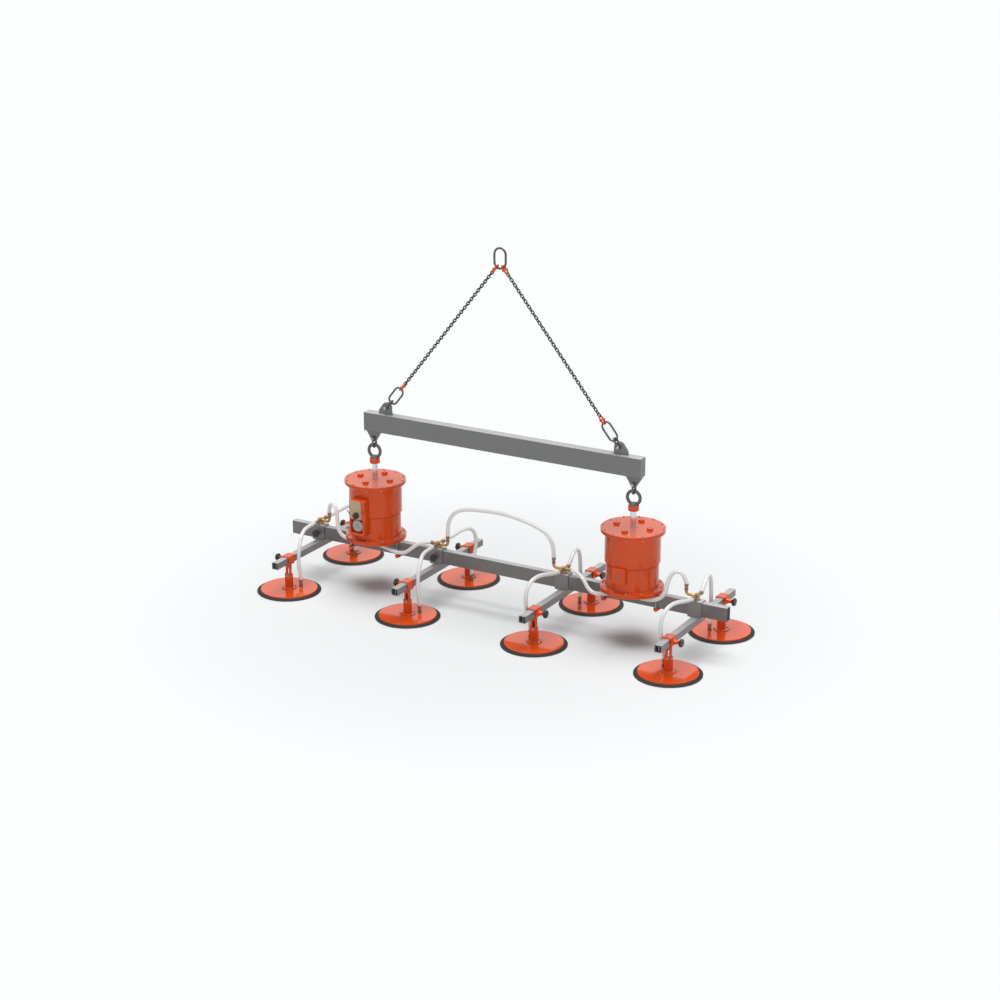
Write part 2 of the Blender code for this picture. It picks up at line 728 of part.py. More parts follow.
# Cylinders
def cylinder_shell(x):
    """Stepped barrel with a top flange and a wider base plate, open at the top."""
    lower_bore = LOWER_RADIUS - CYLINDER_WALL
    profile = [
        (0.0, BASE_BOTTOM + BASE_THICKNESS),
        (lower_bore, BASE_BOTTOM + BASE_THICKNESS),
        (lower_bore, STEP_Z),
        (BORE_RADIUS, STEP_Z + CYLINDER_WALL),
        (BORE_RADIUS, FLANGE_TOP),
        (FLANGE_RADIUS, FLANGE_TOP),
        (FLANGE_RADIUS, FLANGE_TOP - FLANGE_THICKNESS),
        (UPPER_RADIUS, FLANGE_TOP - FLANGE_THICKNESS),
        (UPPER_RADIUS, STEP_Z),
        (LOWER_RADIUS, STEP_Z),
        (LOWER_RADIUS, BASE_BOTTOM + BASE_THICKNESS),
        (BASE_RADIUS, BASE_BOTTOM + BASE_THICKNESS),
        (BASE_RADIUS, BASE_BOTTOM),
        (0.0, BASE_BOTTOM),
    ]
    return turned(profile, (x, 0.0, 0.0), SIDES_LARGE)


def tie_clamp(x):
    """Two tie rods down past the beam to a round-ended bar under it."""
    bar_top = BEAM_BOTTOM - GAP
    bar_bottom = bar_top - TIE_BAR_HEIGHT
    half = TIE_BAR_WIDTH / 2
    outline = arc((0, TIE_Y), half, 0, 180, 4) + arc((0, -TIE_Y), half, 180, 360, 4)
    pieces = [plate(outline, TIE_BAR_HEIGHT, Matrix.Translation((x, 0.0, (bar_top + bar_bottom) / 2)))]
    for y in (-TIE_Y, TIE_Y):
        pieces.append(rod(TIE_RADIUS, (x, y, bar_bottom - TIE_END), (x, y, BASE_BOTTOM + WELD), 6))
    return united(*pieces)


def port_cover(x):
    """The square cover over the service port, its back shaped to the barrel."""
    z = LID_TOP - COVER_DEPTH_BELOW_LID
    front = -(LOWER_RADIUS + COVER_STANDOFF)
    block = box(
        (x - COVER_WIDTH / 2, front, z - COVER_HEIGHT / 2),
        (x + COVER_WIDTH / 2, 0.0, z + COVER_HEIGHT / 2),
    )
    inside = LOWER_RADIUS - CYLINDER_WALL / 2
    return cut(block, rod(inside, (x, 0.0, z - COVER_HEIGHT), (x, 0.0, z + COVER_HEIGHT), SIDES_LARGE))


def build_cylinder(side):
    x = side * CYLINDER_X
    pieces = [cylinder_shell(x), tie_clamp(x - TIE_X), tie_clamp(x + TIE_X)]
    if side == RIGHT:
        pieces.append(port_cover(x))
    node(f"{side_name(side)}_cylinder", united(*pieces), "frame", "orange_paint")


def build_lid(side):
    x = side * CYLINDER_X
    hole = ROD_RADIUS + ROD_CLEARANCE
    profile = [
        (hole, LID_TOP + GLAND_HEIGHT),
        (GLAND_RADIUS, LID_TOP + GLAND_HEIGHT),
        (GLAND_RADIUS, LID_TOP),
        (FLANGE_RADIUS, LID_TOP),
        (FLANGE_RADIUS, LID_BOTTOM),
        (hole, LID_BOTTOM),
    ]
    lid = turned(profile, (x, 0.0, 0.0), SIDES_LARGE, closed=True)
    bosses = []
    for i in range(4):
        angle = math.pi / 2 * i
        across = x + LID_BOSS_CIRCLE * math.cos(angle)
        depth = LID_BOSS_CIRCLE * math.sin(angle)
        boss_top = LID_TOP + LID_BOSS_HEIGHT
        bosses.append(rod(LID_BOSS_RADIUS, (across, depth, LID_TOP - WELD), (across, depth, boss_top)))
    node(f"{side_name(side)}_cylinder_lid", united(lid, *bosses), "frame", "orange_paint")


# Control box with its gauge, selector and lever
def build_control_box():
    x = LEFT * CYLINDER_X
    half = BOX_WIDTH / 2
    block = box((x - half, BOX_FRONT, BOX_BOTTOM), (x + half, -LOWER_RADIUS / 2, BOX_TOP))
    bevel = block.modifiers.new("Bevel", "BEVEL")
    bevel.width = BOX_EDGE
    bevel.segments = 2
    block = evaluated(block)
    pocket = box(
        (x - POCKET_WIDTH / 2, BOX_FRONT - POCKET_DEPTH, GAUGE_Z - POCKET_HEIGHT / 2),
        (x + POCKET_WIDTH / 2, POCKET_FLOOR, GAUGE_Z + POCKET_HEIGHT / 2),
    )
    cavity = box(
        (x - half + BOX_WALL, POCKET_FLOOR + BOX_WALL, BOX_BOTTOM + BOX_WALL),
        (x + half - BOX_WALL, 0.0, BOX_TOP - BOX_WALL),
    )
    upper = rod(UPPER_RADIUS + GAP, (x, 0.0, STEP_Z - GAP), (x, 0.0, LID_TOP), SIDES_LARGE)
    lower = rod(LOWER_RADIUS + GAP, (x, 0.0, BASE_BOTTOM), (x, 0.0, STEP_Z), SIDES_LARGE)
    selector_z = LID_TOP - SELECTOR_BELOW_LID
    stem_hole = rod(
        SELECTOR_STEM + PIN_PLAY,
        (x, BOX_FRONT - CONTROL_STEM_LENGTH, selector_z),
        (x, BOX_FRONT + CONTROL_STEM_LENGTH + GAP, selector_z),
        SIDES_SMALL,
    )
    lever_z = LID_TOP - LEVER_BELOW_LID
    lever_y = BOX_FRONT + LEVER_SETBACK
    lever_hole = rod(
        LEVER_STEM + PIN_PLAY,
        (x - half - CONTROL_STEM_LENGTH, lever_y, lever_z),
        (x - half + CONTROL_STEM_LENGTH + GAP, lever_y, lever_z),
        SIDES_SMALL,
    )
    housing = cut(block, pocket, cavity, upper, lower, stem_hole, lever_hole)
    node("control_box", housing, "frame", "orange_paint")


def build_gauge():
    """A dial gauge facing the operator, its dial set back inside the bezel, and its needle."""
    x = LEFT * CYLINDER_X
    back = POCKET_FLOOR - GAP
    case = rod(GAUGE_RADIUS, (x, back, GAUGE_Z), (x, GAUGE_FRONT, GAUGE_Z), SIDES_LARGE)
    recess = rod(
        GAUGE_RADIUS - BEZEL_WIDTH,
        (x, DIAL_Y, GAUGE_Z),
        (x, GAUGE_FRONT - DIAL_DEPTH, GAUGE_Z),
        SIDES_LARGE,
    )
    node("vacuum_gauge", cut(case, recess), "frame", "gauge_white")
    hub_front = DIAL_Y - DIAL_DEPTH / 2
    hub = rod(NEEDLE_HUB, (x, DIAL_Y - GAP, GAUGE_Z), (x, hub_front, GAUGE_Z))
    centre = Vector((x, (DIAL_Y - GAP + hub_front) / 2, GAUGE_Z))
    half = NEEDLE_WIDTH / 2
    outline = [
        (-NEEDLE_TAIL, -half),
        (NEEDLE_REACH, -half / 2),
        (NEEDLE_REACH, half / 2),
        (-NEEDLE_TAIL, half),
    ]
    turn = Matrix.Rotation(math.radians(NEEDLE_ANGLE), 4, "Y")
    place = Matrix.Translation(centre) @ turn @ upright((0, 0, 0))
    pointer = plate(outline, abs(hub_front - DIAL_Y) / 2, place)
    node("gauge_needle", united(hub, pointer), "needle", "black_plastic")


def build_selector():
    x = LEFT * CYLINDER_X
    z = LID_TOP - SELECTOR_BELOW_LID
    face = BOX_FRONT - GAP
    front = face - SELECTOR_LENGTH
    grip = rod(SELECTOR_RADIUS, (x, face, z), (x, front, z), 16, SELECTOR_END_RADIUS)
    bar = box(
        (x - SELECTOR_BAR_WIDTH / 2, front - SELECTOR_BAR_RISE, z - SELECTOR_BAR_HEIGHT / 2),
        (x + SELECTOR_BAR_WIDTH / 2, face - SELECTOR_LENGTH / 2, z + SELECTOR_BAR_HEIGHT / 2),
    )
    stem = rod(SELECTOR_STEM, (x, face - SELECTOR_LENGTH / 2, z), (x, BOX_FRONT + CONTROL_STEM_LENGTH, z))
    node("selector_knob", united(grip, bar, stem), "selector", "black_plastic")


def build_lever():
    """The release lever on the box's left side: a rod that goes out, forward and up from its hub."""
    half = BOX_WIDTH / 2
    face = LEFT * CYLINDER_X - half - GAP
    z = LID_TOP - LEVER_BELOW_LID
    y = BOX_FRONT + LEVER_SETBACK
    hub = rod(LEVER_HUB, (face, y, z), (face - LEVER_HUB, y, z))
    stem = rod(LEVER_STEM, (face - LEVER_HUB / 2, y, z), (face + CONTROL_STEM_LENGTH, y, z), 8)
    out, forward, up = LEVER_TIP
    arm = rod(LEVER_ROD, (face - LEVER_HUB / 2, y, z), (face - out, y - forward, z + up), 8)
    node("release_lever", united(hub, stem, arm), "lever", "black_plastic")


# Main beam
def build_main_beam():
    half, width = BEAM_LENGTH / 2, BEAM_WIDTH / 2
    beam = box((-half, -width, BEAM_BOTTOM), (half, width, BEAM_TOP))
    hollow = box(
        (-half - BEAM_WALL, -width + BEAM_WALL, BEAM_BOTTOM + BEAM_WALL),
        (half + BEAM_WALL, width - BEAM_WALL, BEAM_TOP - BEAM_WALL),
    )
    beam = cut(beam, hollow)
    reach = width + STOP_PIN_PROUD
    pins = [
        rod(STOP_PIN_RADIUS, (x, -reach, BEAM_MIDDLE), (x, reach, BEAM_MIDDLE), 6)
        for x in (-half + STOP_PIN_INSET, half - STOP_PIN_INSET)
    ]
    node("main_beam", united(beam, *pins), "frame", "grey_paint")


# Star knobs
def star_knob(face, outward, stem_end):
    """A star knob whose head starts at face and points outward; its stem goes in to stem_end."""
    turn = outward.to_track_quat("Z", "Y").to_matrix().to_4x4()
    middle = face + outward * KNOB_LENGTH / 2
    head = plate(star_outline(KNOB_RADIUS, KNOB_LOBES), KNOB_LENGTH, Matrix.Translation(middle) @ turn)
    stem = rod(KNOB_STEM, stem_end, face + outward * WELD, 6)
    return united(head, stem)


# Cross arms: a sleeve on the main beam, welded on a square tube with a stop pin at each end
def build_arm(index):
    x = ARM_X[index]
    operator_side = 1 if index < 2 else -1
    half = SLEEVE_LENGTH / 2
    sleeve = box((x - half, -SLEEVE_HALF, SLEEVE_BOTTOM), (x + half, SLEEVE_HALF, SLEEVE_TOP))
    passage = box(
        (x - SLEEVE_LENGTH, -BEAM_WIDTH / 2 - SLEEVE_CLEARANCE, BEAM_BOTTOM - SLEEVE_CLEARANCE),
        (x + SLEEVE_LENGTH, BEAM_WIDTH / 2 + SLEEVE_CLEARANCE, BEAM_TOP + SLEEVE_CLEARANCE),
    )
    side, inner = ARM_SIZE / 2, ARM_SIZE / 2 - ARM_WALL
    tube = box((x - side, -ARM_HALF_LENGTH, ARM_BOTTOM), (x + side, ARM_HALF_LENGTH, ARM_TOP))
    bore = box(
        (x - inner, -ARM_HALF_LENGTH - ARM_WALL, ARM_BOTTOM + ARM_WALL),
        (x + inner, ARM_HALF_LENGTH + ARM_WALL, ARM_TOP - ARM_WALL),
    )
    pieces = [cut(sleeve, passage), cut(tube, bore)]
    for y in (-ARM_HALF_LENGTH + STOP_PIN_INSET, ARM_HALF_LENGTH - STOP_PIN_INSET):
        low, high = ARM_BOTTOM - STOP_PIN_PROUD, ARM_TOP + STOP_PIN_PROUD
        pieces.append(rod(STOP_PIN_RADIUS, (x, y, low), (x, y, high), 6))
    saddle = SADDLE_LENGTH / 2
    pieces.append(
        box((x - saddle, -saddle, SLEEVE_TOP - WELD), (x + saddle, saddle, SLEEVE_TOP + SADDLE_HEIGHT))
    )
    outward = Vector((0.0, -operator_side, 0.0))
    face = Vector((x, 0.0, BEAM_MIDDLE)) + outward * SLEEVE_HALF
    knob = star_knob(face + outward * ARM_BOSS_HEIGHT, outward, face - outward * WELD)
    node(f"arm_{index + 1}", united(*pieces, knob), f"arm_slide_{index + 1}", "grey_paint")


# Clamps: a bent plate round the arm, with the slotted strap that carries the pad
def pad_places():
    """Every pad as its name, arm number, side of the beam and centre."""
    for index, x in enumerate(ARM_X):
        for side, word in ((-1, "near"), (1, "far")):
            yield f"{word}_{index + 1}", index, side, Vector((x, side * PAD_Y, 0.0))


def knob_side(index):
    """The knobs of the two left arms are on their left, those of the right arms on the right."""
    return -1 if index < 2 else 1


def build_clamp(name, index, centre):
    x, y = centre.x, centre.y
    top = ARM_TOP + CLAMP_CLEARANCE + CLAMP_WALL
    bottom = ARM_BOTTOM - CLAMP_CLEARANCE - CLAMP_WALL
    outline = [
        (-CLAMP_FOOT_HALF, bottom),
        (CLAMP_FOOT_HALF, bottom),
        (CLAMP_TOP_HALF, ARM_MIDDLE),
        (CLAMP_TOP_HALF, top),
        (-CLAMP_TOP_HALF, top),
        (-CLAMP_TOP_HALF, ARM_MIDDLE),
    ]
    hoop = plate(outline, 2 * CLAMP_HALF, sideways((x, y, 0.0)))
    room = ARM_SIZE / 2 + CLAMP_CLEARANCE
    passage = box(
        (x - room, y - 2 * CLAMP_TOP_HALF, ARM_BOTTOM - CLAMP_CLEARANCE),
        (x + room, y + 2 * CLAMP_TOP_HALF, ARM_TOP + CLAMP_CLEARANCE),
    )
    half = STRAP_WIDTH / 2
    strap_outline = [(-half, bottom + WELD), (-half, STRAP_BOTTOM + half / 2)]
    strap_outline += [(-half / 2, STRAP_BOTTOM), (half / 2, STRAP_BOTTOM)]
    strap_outline += [(half, STRAP_BOTTOM + half / 2), (half, bottom + WELD)]
    strap = plate(strap_outline, STRAP_THICKNESS, upright((x, y, 0.0)))
    slot_foot = PAD_BOLT_Z + SLOT_WIDTH / 2 - PAD_BOLT_RADIUS - GAP
    slot_head = PAD_BOLT_Z + PAD_TRAVEL
    slot = plate(slot_outline(slot_foot, slot_head, SLOT_WIDTH), 2 * STRAP_THICKNESS, upright((x, y, 0.0)))
    outward = Vector((knob_side(index), 0.0, 0.0))
    middle = Vector((x, y, ARM_MIDDLE))
    boss_end = CLAMP_HALF + BOSS_HEIGHT
    boss = rod(BOSS_RADIUS, middle + outward * (CLAMP_HALF - WELD), middle + outward * boss_end)
    bore_end = middle + outward * (boss_end + CLAMP_WALL)
    bore = rod(KNOB_STEM + PIN_PLAY, middle + outward * ARM_SIZE / 2, bore_end)
    clamp = united(cut(hoop, passage), cut(strap, slot), boss)
    node(f"clamp_{name}", cut(clamp, bore), f"clamp_slide_{name}", "orange_paint")


def build_clamp_knob(name, index, centre):
    outward = Vector((knob_side(index), 0.0, 0.0))
    middle = Vector((centre.x, centre.y, ARM_MIDDLE))
    face = middle + outward * (CLAMP_HALF + BOSS_HEIGHT + GAP)
    stem_end = middle + outward * (ARM_SIZE / 2 + GAP)
    node(f"clamp_knob_{name}", star_knob(face, outward, stem_end), f"knob_{name}", "black_plastic")


# Suction pads
def nipple_place(centre):
    """The nipple stands toward the middle of the lifter and toward the main beam."""
    x = centre.x - math.copysign(NIPPLE_X, centre.x)
    return Vector((x, centre.y - math.copysign(NIPPLE_Y, centre.y), 0.0))


def build_pad(name, centre):
    x, y = centre.x, centre.y
    disc = rod(DISC_RADIUS, (x, y, DISC_BOTTOM), (x, y, DISC_TOP), SIDES_PAD)
    foot = rod(FOOT_RADIUS, (x, y, DISC_TOP - WELD), (x, y, DISC_TOP + FOOT_THICKNESS), 8)
    half = MAST_WIDTH / 2
    front = y - STRAP_THICKNESS / 2 - MAST_CLEARANCE - MAST_WALL
    back = front + MAST_DEPTH
    foot_top = DISC_TOP + FOOT_THICKNESS
    mast = box((x - half, front, foot_top - WELD), (x + half, back, MAST_TOP))
    groove = box(
        (x - half + MAST_WALL, front + MAST_WALL, foot_top - MAST_WALL),
        (x + half - MAST_WALL, back + MAST_WALL, MAST_TOP + MAST_WALL),
    )
    strap_back = y + STRAP_THICKNESS / 2 + MAST_CLEARANCE
    bolt = rod(PAD_BOLT_RADIUS, (x, front, PAD_BOLT_Z), (x, strap_back + PAD_BOLT_RADIUS, PAD_BOLT_Z))
    head = rod(PAD_BOLT_HEAD, (x, front - PAD_BOLT_RADIUS, PAD_BOLT_Z), (x, front + WELD, PAD_BOLT_Z), 6)
    place = nipple_place(centre)
    up = Vector((0.0, 0.0, 1.0))
    nipple = rod(NIPPLE_RADIUS, place + up * (DISC_TOP - WELD), place + up * NIPPLE_TOP)
    pad = united(disc, foot, cut(mast, groove), bolt, head, nipple)
    node(f"pad_{name}", pad, f"pad_float_{name}", "orange_paint")


def build_seal(name, centre):
    """The rubber lip: a land under the disc, a collar round its rim and a flat sealing face."""
    under = DISC_BOTTOM - GAP
    rim = DISC_RADIUS + GAP
    profile = [
        (SEAL_INNER_RADIUS, under),
        (rim, under),
        (rim, SEAL_TOP),
        (SEAL_RADIUS, SEAL_BOTTOM),
        (SEAL_INNER_RADIUS, SEAL_BOTTOM),
    ]
    lip = turned(profile, centre, SIDES_PAD, closed=True)
    node(f"seal_{name}", lip, f"pad_float_{name}", "black_rubber")


# Vacuum line: thirteen hoses between four manifolds, two tees and the pads' nipples
def smooth_route(points, spacing):
    """Points read evenly from a smooth curve through the chosen ones, with straight first and last runs."""
    points = [Vector(p) for p in points]
    fine = []
    for a, b, c, d in zip(points, points[1:], points[2:], points[3:]):
        for i in range(12):
            t = i / 12
            bend = (2 * a - 5 * b + 4 * c - d) * t * t + (3 * b - a - 3 * c + d) * t**3
            fine.append(b + (c - a) * t / 2 + bend / 2)
    fine.append(points[-2])
    lengths = [0.0]
    for a, b in zip(fine, fine[1:]):
        lengths.append(lengths[-1] + (b - a).length)
    count = max(3, round(lengths[-1] / spacing))
    route, i = [points[0]], 0
    for k in range(count + 1):
        goal = lengths[-1] * k / count
        while i < len(fine) - 2 and lengths[i + 1] < goal:
            i += 1
        share = (goal - lengths[i]) / (lengths[i + 1] - lengths[i])
        route.append(fine[i].lerp(fine[i + 1], min(max(share, 0.0), 1.0)))
    return [*route, points[-1]]


def hose(points):
    return wire(smooth_route(points, 3 * HOSE_DIAMETER), HOSE_DIAMETER, roundness=2)


# How a pad's hose runs: share of the way over to the nipple, distance from the beam, rise
# above the manifold. The last stretch, down to the nipple, is the same for all.
PAD_HOSE_ROUTES = {
    "short": (
        (0.08, 0.110, 0.000), (0.30, 0.185, -0.001), (0.62, 0.244, -0.035),
        (0.84, 0.280, -0.105), (0.95, 0.291, -0.182),
    ),
    "wide": (
        (0.08, 0.130, 0.014), (0.25, 0.230, 0.038), (0.45, 0.315, 0.034),
        (0.66, 0.355, -0.018), (0.82, 0.345, -0.098), (0.94, 0.306, -0.182),
    ),
    "low": (
        (0.08, 0.130, 0.000), (0.25, 0.230, 0.008), (0.45, 0.305, 0.000),
        (0.66, 0.345, -0.040), (0.82, 0.343, -0.100), (0.94, 0.306, -0.182),
    ),
    "arched": (
        (0.06, 0.095, 0.036), (0.22, 0.150, 0.060), (0.48, 0.215, 0.030),
        (0.72, 0.256, -0.050), (0.90, 0.274, -0.140),
    ),
}
PAD_HOSE_KINDS = {
    "near_1": "short",
    "near_2": "short",
    "near_3": "wide",
    "near_4": "wide",
    "far_1": "low",
    "far_2": "low",
    "far_3": "arched",
    "far_4": "arched",
}


def pad_hose_points(name, index, side):
    """A hose from the manifold's side barb over and down to the pad's nipple."""
    x = ARM_X[index]
    centre = Vector((x, side * PAD_Y, 0.0))
    nipple = nipple_place(centre)
    lean = nipple.x - x
    points = [Vector((x, side * (MANIFOLD_REACH - WELD), MANIFOLD_Z))]
    for share, across, rise in PAD_HOSE_ROUTES[PAD_HOSE_KINDS[name]]:
        points.append(Vector((x + lean * share, side * across, MANIFOLD_Z + rise)))
    points.append(Vector((nipple.x, nipple.y, NIPPLE_TOP + 2 * HOSE_DIAMETER)))
    points.append(Vector((nipple.x, nipple.y, NIPPLE_TOP + GAP)))
    return points


def trunk_hose_points():
    """The hoses between the manifolds and the tees under the cylinders, left to right."""
    elbow_top = MANIFOLD_Z + ELBOW_RISE - WELD
    x1, x2, x3, x4 = ARM_X
    left, right = LEFT * CYLINDER_X, RIGHT * CYLINDER_X
    y = -TEE_OFFSET
    outer_barb = MANIFOLD_OUTER - WELD
    reach = TEE_REACH - WELD
    mz = MANIFOLD_Z
    return [
        [
            (x1 + ELBOW_REACH, 0, elbow_top), (x1 + 0.065, -0.002, mz + 0.100),
            (x1 + 0.090, -0.008, mz + 0.120), (x1 + 0.125, -0.022, mz + 0.095),
            (x1 + 0.142, -0.038, mz + 0.030), (x1 + 0.160, -0.052, mz - 0.020),
            (x1 + 0.205, -0.060, mz - 0.049), (left - 0.110, y, TEE_Z + 0.002),
            (left - reach, y, TEE_Z),
        ],
        [
            (left + reach, y, TEE_Z), (left + 0.100, y, TEE_Z - 0.010),
            (left + 0.180, y, TEE_Z - 0.026), (left + 0.235, y + 0.004, mz - 0.064),
            (left + 0.275, y + 0.018, mz - 0.030), (left + 0.315, y + 0.040, mz - 0.004),
            (x2 - outer_barb, 0, mz),
        ],
        [
            (x2 + ELBOW_REACH, 0, elbow_top), (x2 + 0.063, 0, mz + 0.112),
            (x2 + 0.085, 0, mz + 0.175), (x2 + 0.140, 0, mz + 0.219),
            (x2 + 0.235, 0, mz + 0.239), (0.0, 0, mz + 0.248),
            (x3 - 0.285, 0, mz + 0.237), (x3 - 0.165, 0, mz + 0.210),
            (x3 - 0.095, 0, mz + 0.172), (x3 - 0.064, 0, mz + 0.112),
            (x3 - ELBOW_REACH, 0, elbow_top),
        ],
        [
            (x3 + outer_barb, 0, mz), (x3 + 0.085, -0.010, mz - 0.001),
            (x3 + 0.130, -0.030, mz - 0.015), (x3 + 0.168, -0.050, mz - 0.050),
            (right - 0.200, y, TEE_Z - 0.027), (right - 0.110, y, TEE_Z - 0.012),
            (right - reach, y, TEE_Z),
        ],
        [
            (right + reach, y, TEE_Z), (right + 0.105, y, TEE_Z - 0.002),
            (right + 0.165, y + 0.004, mz - 0.046), (x4 - 0.160, -0.048, mz - 0.006),
            (x4 - 0.158, -0.032, mz + 0.050), (x4 - 0.140, -0.014, mz + 0.102),
            (x4 - 0.108, -0.004, mz + 0.121), (x4 - 0.075, 0, mz + 0.098),
            (x4 - ELBOW_REACH, 0, elbow_top),
        ],
    ]


def manifold(index):
    """A brass block with two side barbs, a raised elbow and, on the inner arms, an outer barb."""
    x = ARM_X[index]
    inward = 1 if index < 2 else -1
    z = MANIFOLD_Z
    half = BODY_RADIUS
    seat = half - WELD
    elbow_x = x + inward * ELBOW_REACH
    bend = [
        (x + inward * seat, 0.0, z),
        (elbow_x - inward * BODY_RADIUS, 0.0, z),
        (elbow_x, 0.0, z + BODY_RADIUS),
        (elbow_x, 0.0, z + ELBOW_RISE),
    ]
    barbs = [
        rod(BARB_RADIUS, (x, side * seat, z), (x, side * MANIFOLD_REACH, z)) for side in (-1, 1)
    ]
    if index in (1, 2):
        outer_end = (x - inward * MANIFOLD_OUTER, 0.0, z)
        barbs.append(rod(BARB_RADIUS, (x - inward * seat, 0.0, z), outer_end))
    foot = SLEEVE_TOP + SADDLE_HEIGHT + GAP
    hub = box((x - half, -half, foot), (x + half, half, z + half))
    return united(hub, *barbs, wire(bend, 2 * ELBOW_RADIUS, roundness=2))


def cylinder_tee(side):
    """The tee under a cylinder's base plate, in front of the main beam."""
    x = side * CYLINDER_X
    return united(
        rod(BARB_RADIUS, (x - TEE_REACH, -TEE_OFFSET, TEE_Z), (x + TEE_REACH, -TEE_OFFSET, TEE_Z)),
        rod(ELBOW_RADIUS, (x, -TEE_OFFSET, TEE_Z), (x, -TEE_OFFSET, BASE_BOTTOM - GAP)),
    )


def build_vacuum_line():
    fittings = [manifold(i) for i in range(len(ARM_X))] + [cylinder_tee(LEFT), cylinder_tee(RIGHT)]
    hoses = [hose(points) for points in trunk_hose_points()]
    for name, index, side, _ in pad_places():
        hoses.append(hose(pad_hose_points(name, index, side)))
    line = united(gathered(fittings), gathered(hoses))
    node("vacuum_line", line, "frame", "clear_hose")


# The tree of moving bodies, each empty on its joint's axis
def build_bodies():
    body("hook_point", (0.0, 0.0, 0.0))
    body("sling", (0.0, 0.0, LINK_ARC_Z), "hook_point")
    bow = Vector((0.0, 0.0, LINK_ARC_Z)) + leg_direction(RIGHT) * (LEG_REACH - BOW_CENTRE)
    body("spreader", (0.0, 0.0, bow.z), "sling")
    for side in (LEFT, RIGHT):
        x = side * CYLINDER_X
        word = side_name(side)
        body(f"{word}_hanger", (x, 0.0, LOWER_PIN_Z), "spreader")
        wire_z = LOWER_PIN_Z - SHACKLE_SEAT - SHACKLE_WIRE / 2
        body(f"{word}_rod", (x, 0.0, wire_z), f"{word}_hanger")
    body("frame", (LEFT * CYLINDER_X, 0.0, BEAM_TOP), "left_rod")
    x = LEFT * CYLINDER_X
    body("needle", (x, DIAL_Y, GAUGE_Z), "frame")
    body("selector", (x, BOX_FRONT, LID_TOP - SELECTOR_BELOW_LID), "frame")
    lever_x = x - BOX_WIDTH / 2
    body("lever", (lever_x, BOX_FRONT + LEVER_SETBACK, LID_TOP - LEVER_BELOW_LID), "frame")
    for index, arm_x in enumerate(ARM_X):
        body(f"arm_slide_{index + 1}", (arm_x, 0.0, ARM_MIDDLE), "frame")
    for name, index, _, centre in pad_places():
        body(f"clamp_slide_{name}", (centre.x, centre.y, ARM_MIDDLE), f"arm_slide_{index + 1}")
        body(f"knob_{name}", (centre.x, centre.y, ARM_MIDDLE), f"clamp_slide_{name}")
        body(f"pad_float_{name}", (centre.x, centre.y, PAD_BOLT_Z), f"clamp_slide_{name}")


def build_lifter():
    build_bodies()
    build_master_link()
    for side in (LEFT, RIGHT):
        build_leg(side)
        build_eye(side)
        build_piston_rod(side)
        build_cylinder(side)
        build_lid(side)
    build_shackles()
    build_spreader()
    build_control_box()
    build_gauge()
    build_selector()
    build_lever()
    build_main_beam()
    for index in range(len(ARM_X)):
        build_arm(index)
    for name, index, _, centre in pad_places():
        build_clamp(name, index, centre)
        build_clamp_knob(name, index, centre)
        build_pad(name, centre)
        build_seal(name, centre)
    build_vacuum_line()
    bpy.context.view_layer.update()


build_lifter()
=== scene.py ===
"""The vacuum lifter as it looks: a chain sling, a grey spreader beam, two orange piston cylinders
on the main beam, four cross arms and eight suction pads with their vacuum hoses."""

import math

import bmesh
import bpy
from mathutils import Matrix, Vector


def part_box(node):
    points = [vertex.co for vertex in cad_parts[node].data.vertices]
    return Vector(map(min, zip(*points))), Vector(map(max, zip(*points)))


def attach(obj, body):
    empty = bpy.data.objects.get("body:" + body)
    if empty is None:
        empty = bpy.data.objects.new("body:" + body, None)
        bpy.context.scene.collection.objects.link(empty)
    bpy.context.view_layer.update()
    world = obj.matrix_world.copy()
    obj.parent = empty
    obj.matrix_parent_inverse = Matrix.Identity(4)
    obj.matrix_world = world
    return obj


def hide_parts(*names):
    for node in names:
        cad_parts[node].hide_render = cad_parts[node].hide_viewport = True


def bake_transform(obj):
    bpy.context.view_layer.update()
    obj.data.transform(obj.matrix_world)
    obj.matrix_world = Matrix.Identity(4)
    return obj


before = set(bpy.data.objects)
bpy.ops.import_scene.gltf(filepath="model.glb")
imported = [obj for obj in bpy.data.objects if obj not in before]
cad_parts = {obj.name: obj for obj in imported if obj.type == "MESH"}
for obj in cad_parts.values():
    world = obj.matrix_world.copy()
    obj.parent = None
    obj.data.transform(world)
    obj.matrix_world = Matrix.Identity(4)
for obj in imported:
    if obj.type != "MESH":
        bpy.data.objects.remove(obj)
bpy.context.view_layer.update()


# The camera. It stands to the right of the lifter's front and above it, twelve metres off,
# with a long lens, as in the photograph.
CAMERA_AZIMUTH = math.radians(29.939)
CAMERA_ELEVATION = math.radians(19.038)
CAMERA_DISTANCE = 11.939
CAMERA_TARGET = Vector((-0.0149, 0.0253, -1.3910))
CAMERA_LENS = 79.22

toward_camera = Vector((
    math.sin(CAMERA_AZIMUTH) * math.cos(CAMERA_ELEVATION),
    -math.cos(CAMERA_AZIMUTH) * math.cos(CAMERA_ELEVATION),
    math.sin(CAMERA_ELEVATION),
))
camera = bpy.data.objects.new("camera", bpy.data.cameras.new("camera"))
camera.data.lens = CAMERA_LENS
camera.location = CAMERA_TARGET + toward_camera * CAMERA_DISTANCE
camera.rotation_mode = "QUATERNION"
camera.rotation_quaternion = (-toward_camera).to_track_quat("-Z", "Y")
camera.data.clip_end = 100.0
bpy.context.scene.collection.objects.link(camera)
bpy.context.scene.camera = camera


# The vacuum hoses. Clear PVC hose of 22 mm with a fabric braid inside its wall, pushed over brass
# barbs. Each bends out of its barb, sags under its own weight and takes up the arms' travel.
HOSE_DIAMETER = 0.022
HOSE_SIDES = 20
HOSE_STEP = 0.028
BRAID_PITCH = 0.016
BRAID_THREADS = 8
THREAD_EDGE = 0.78

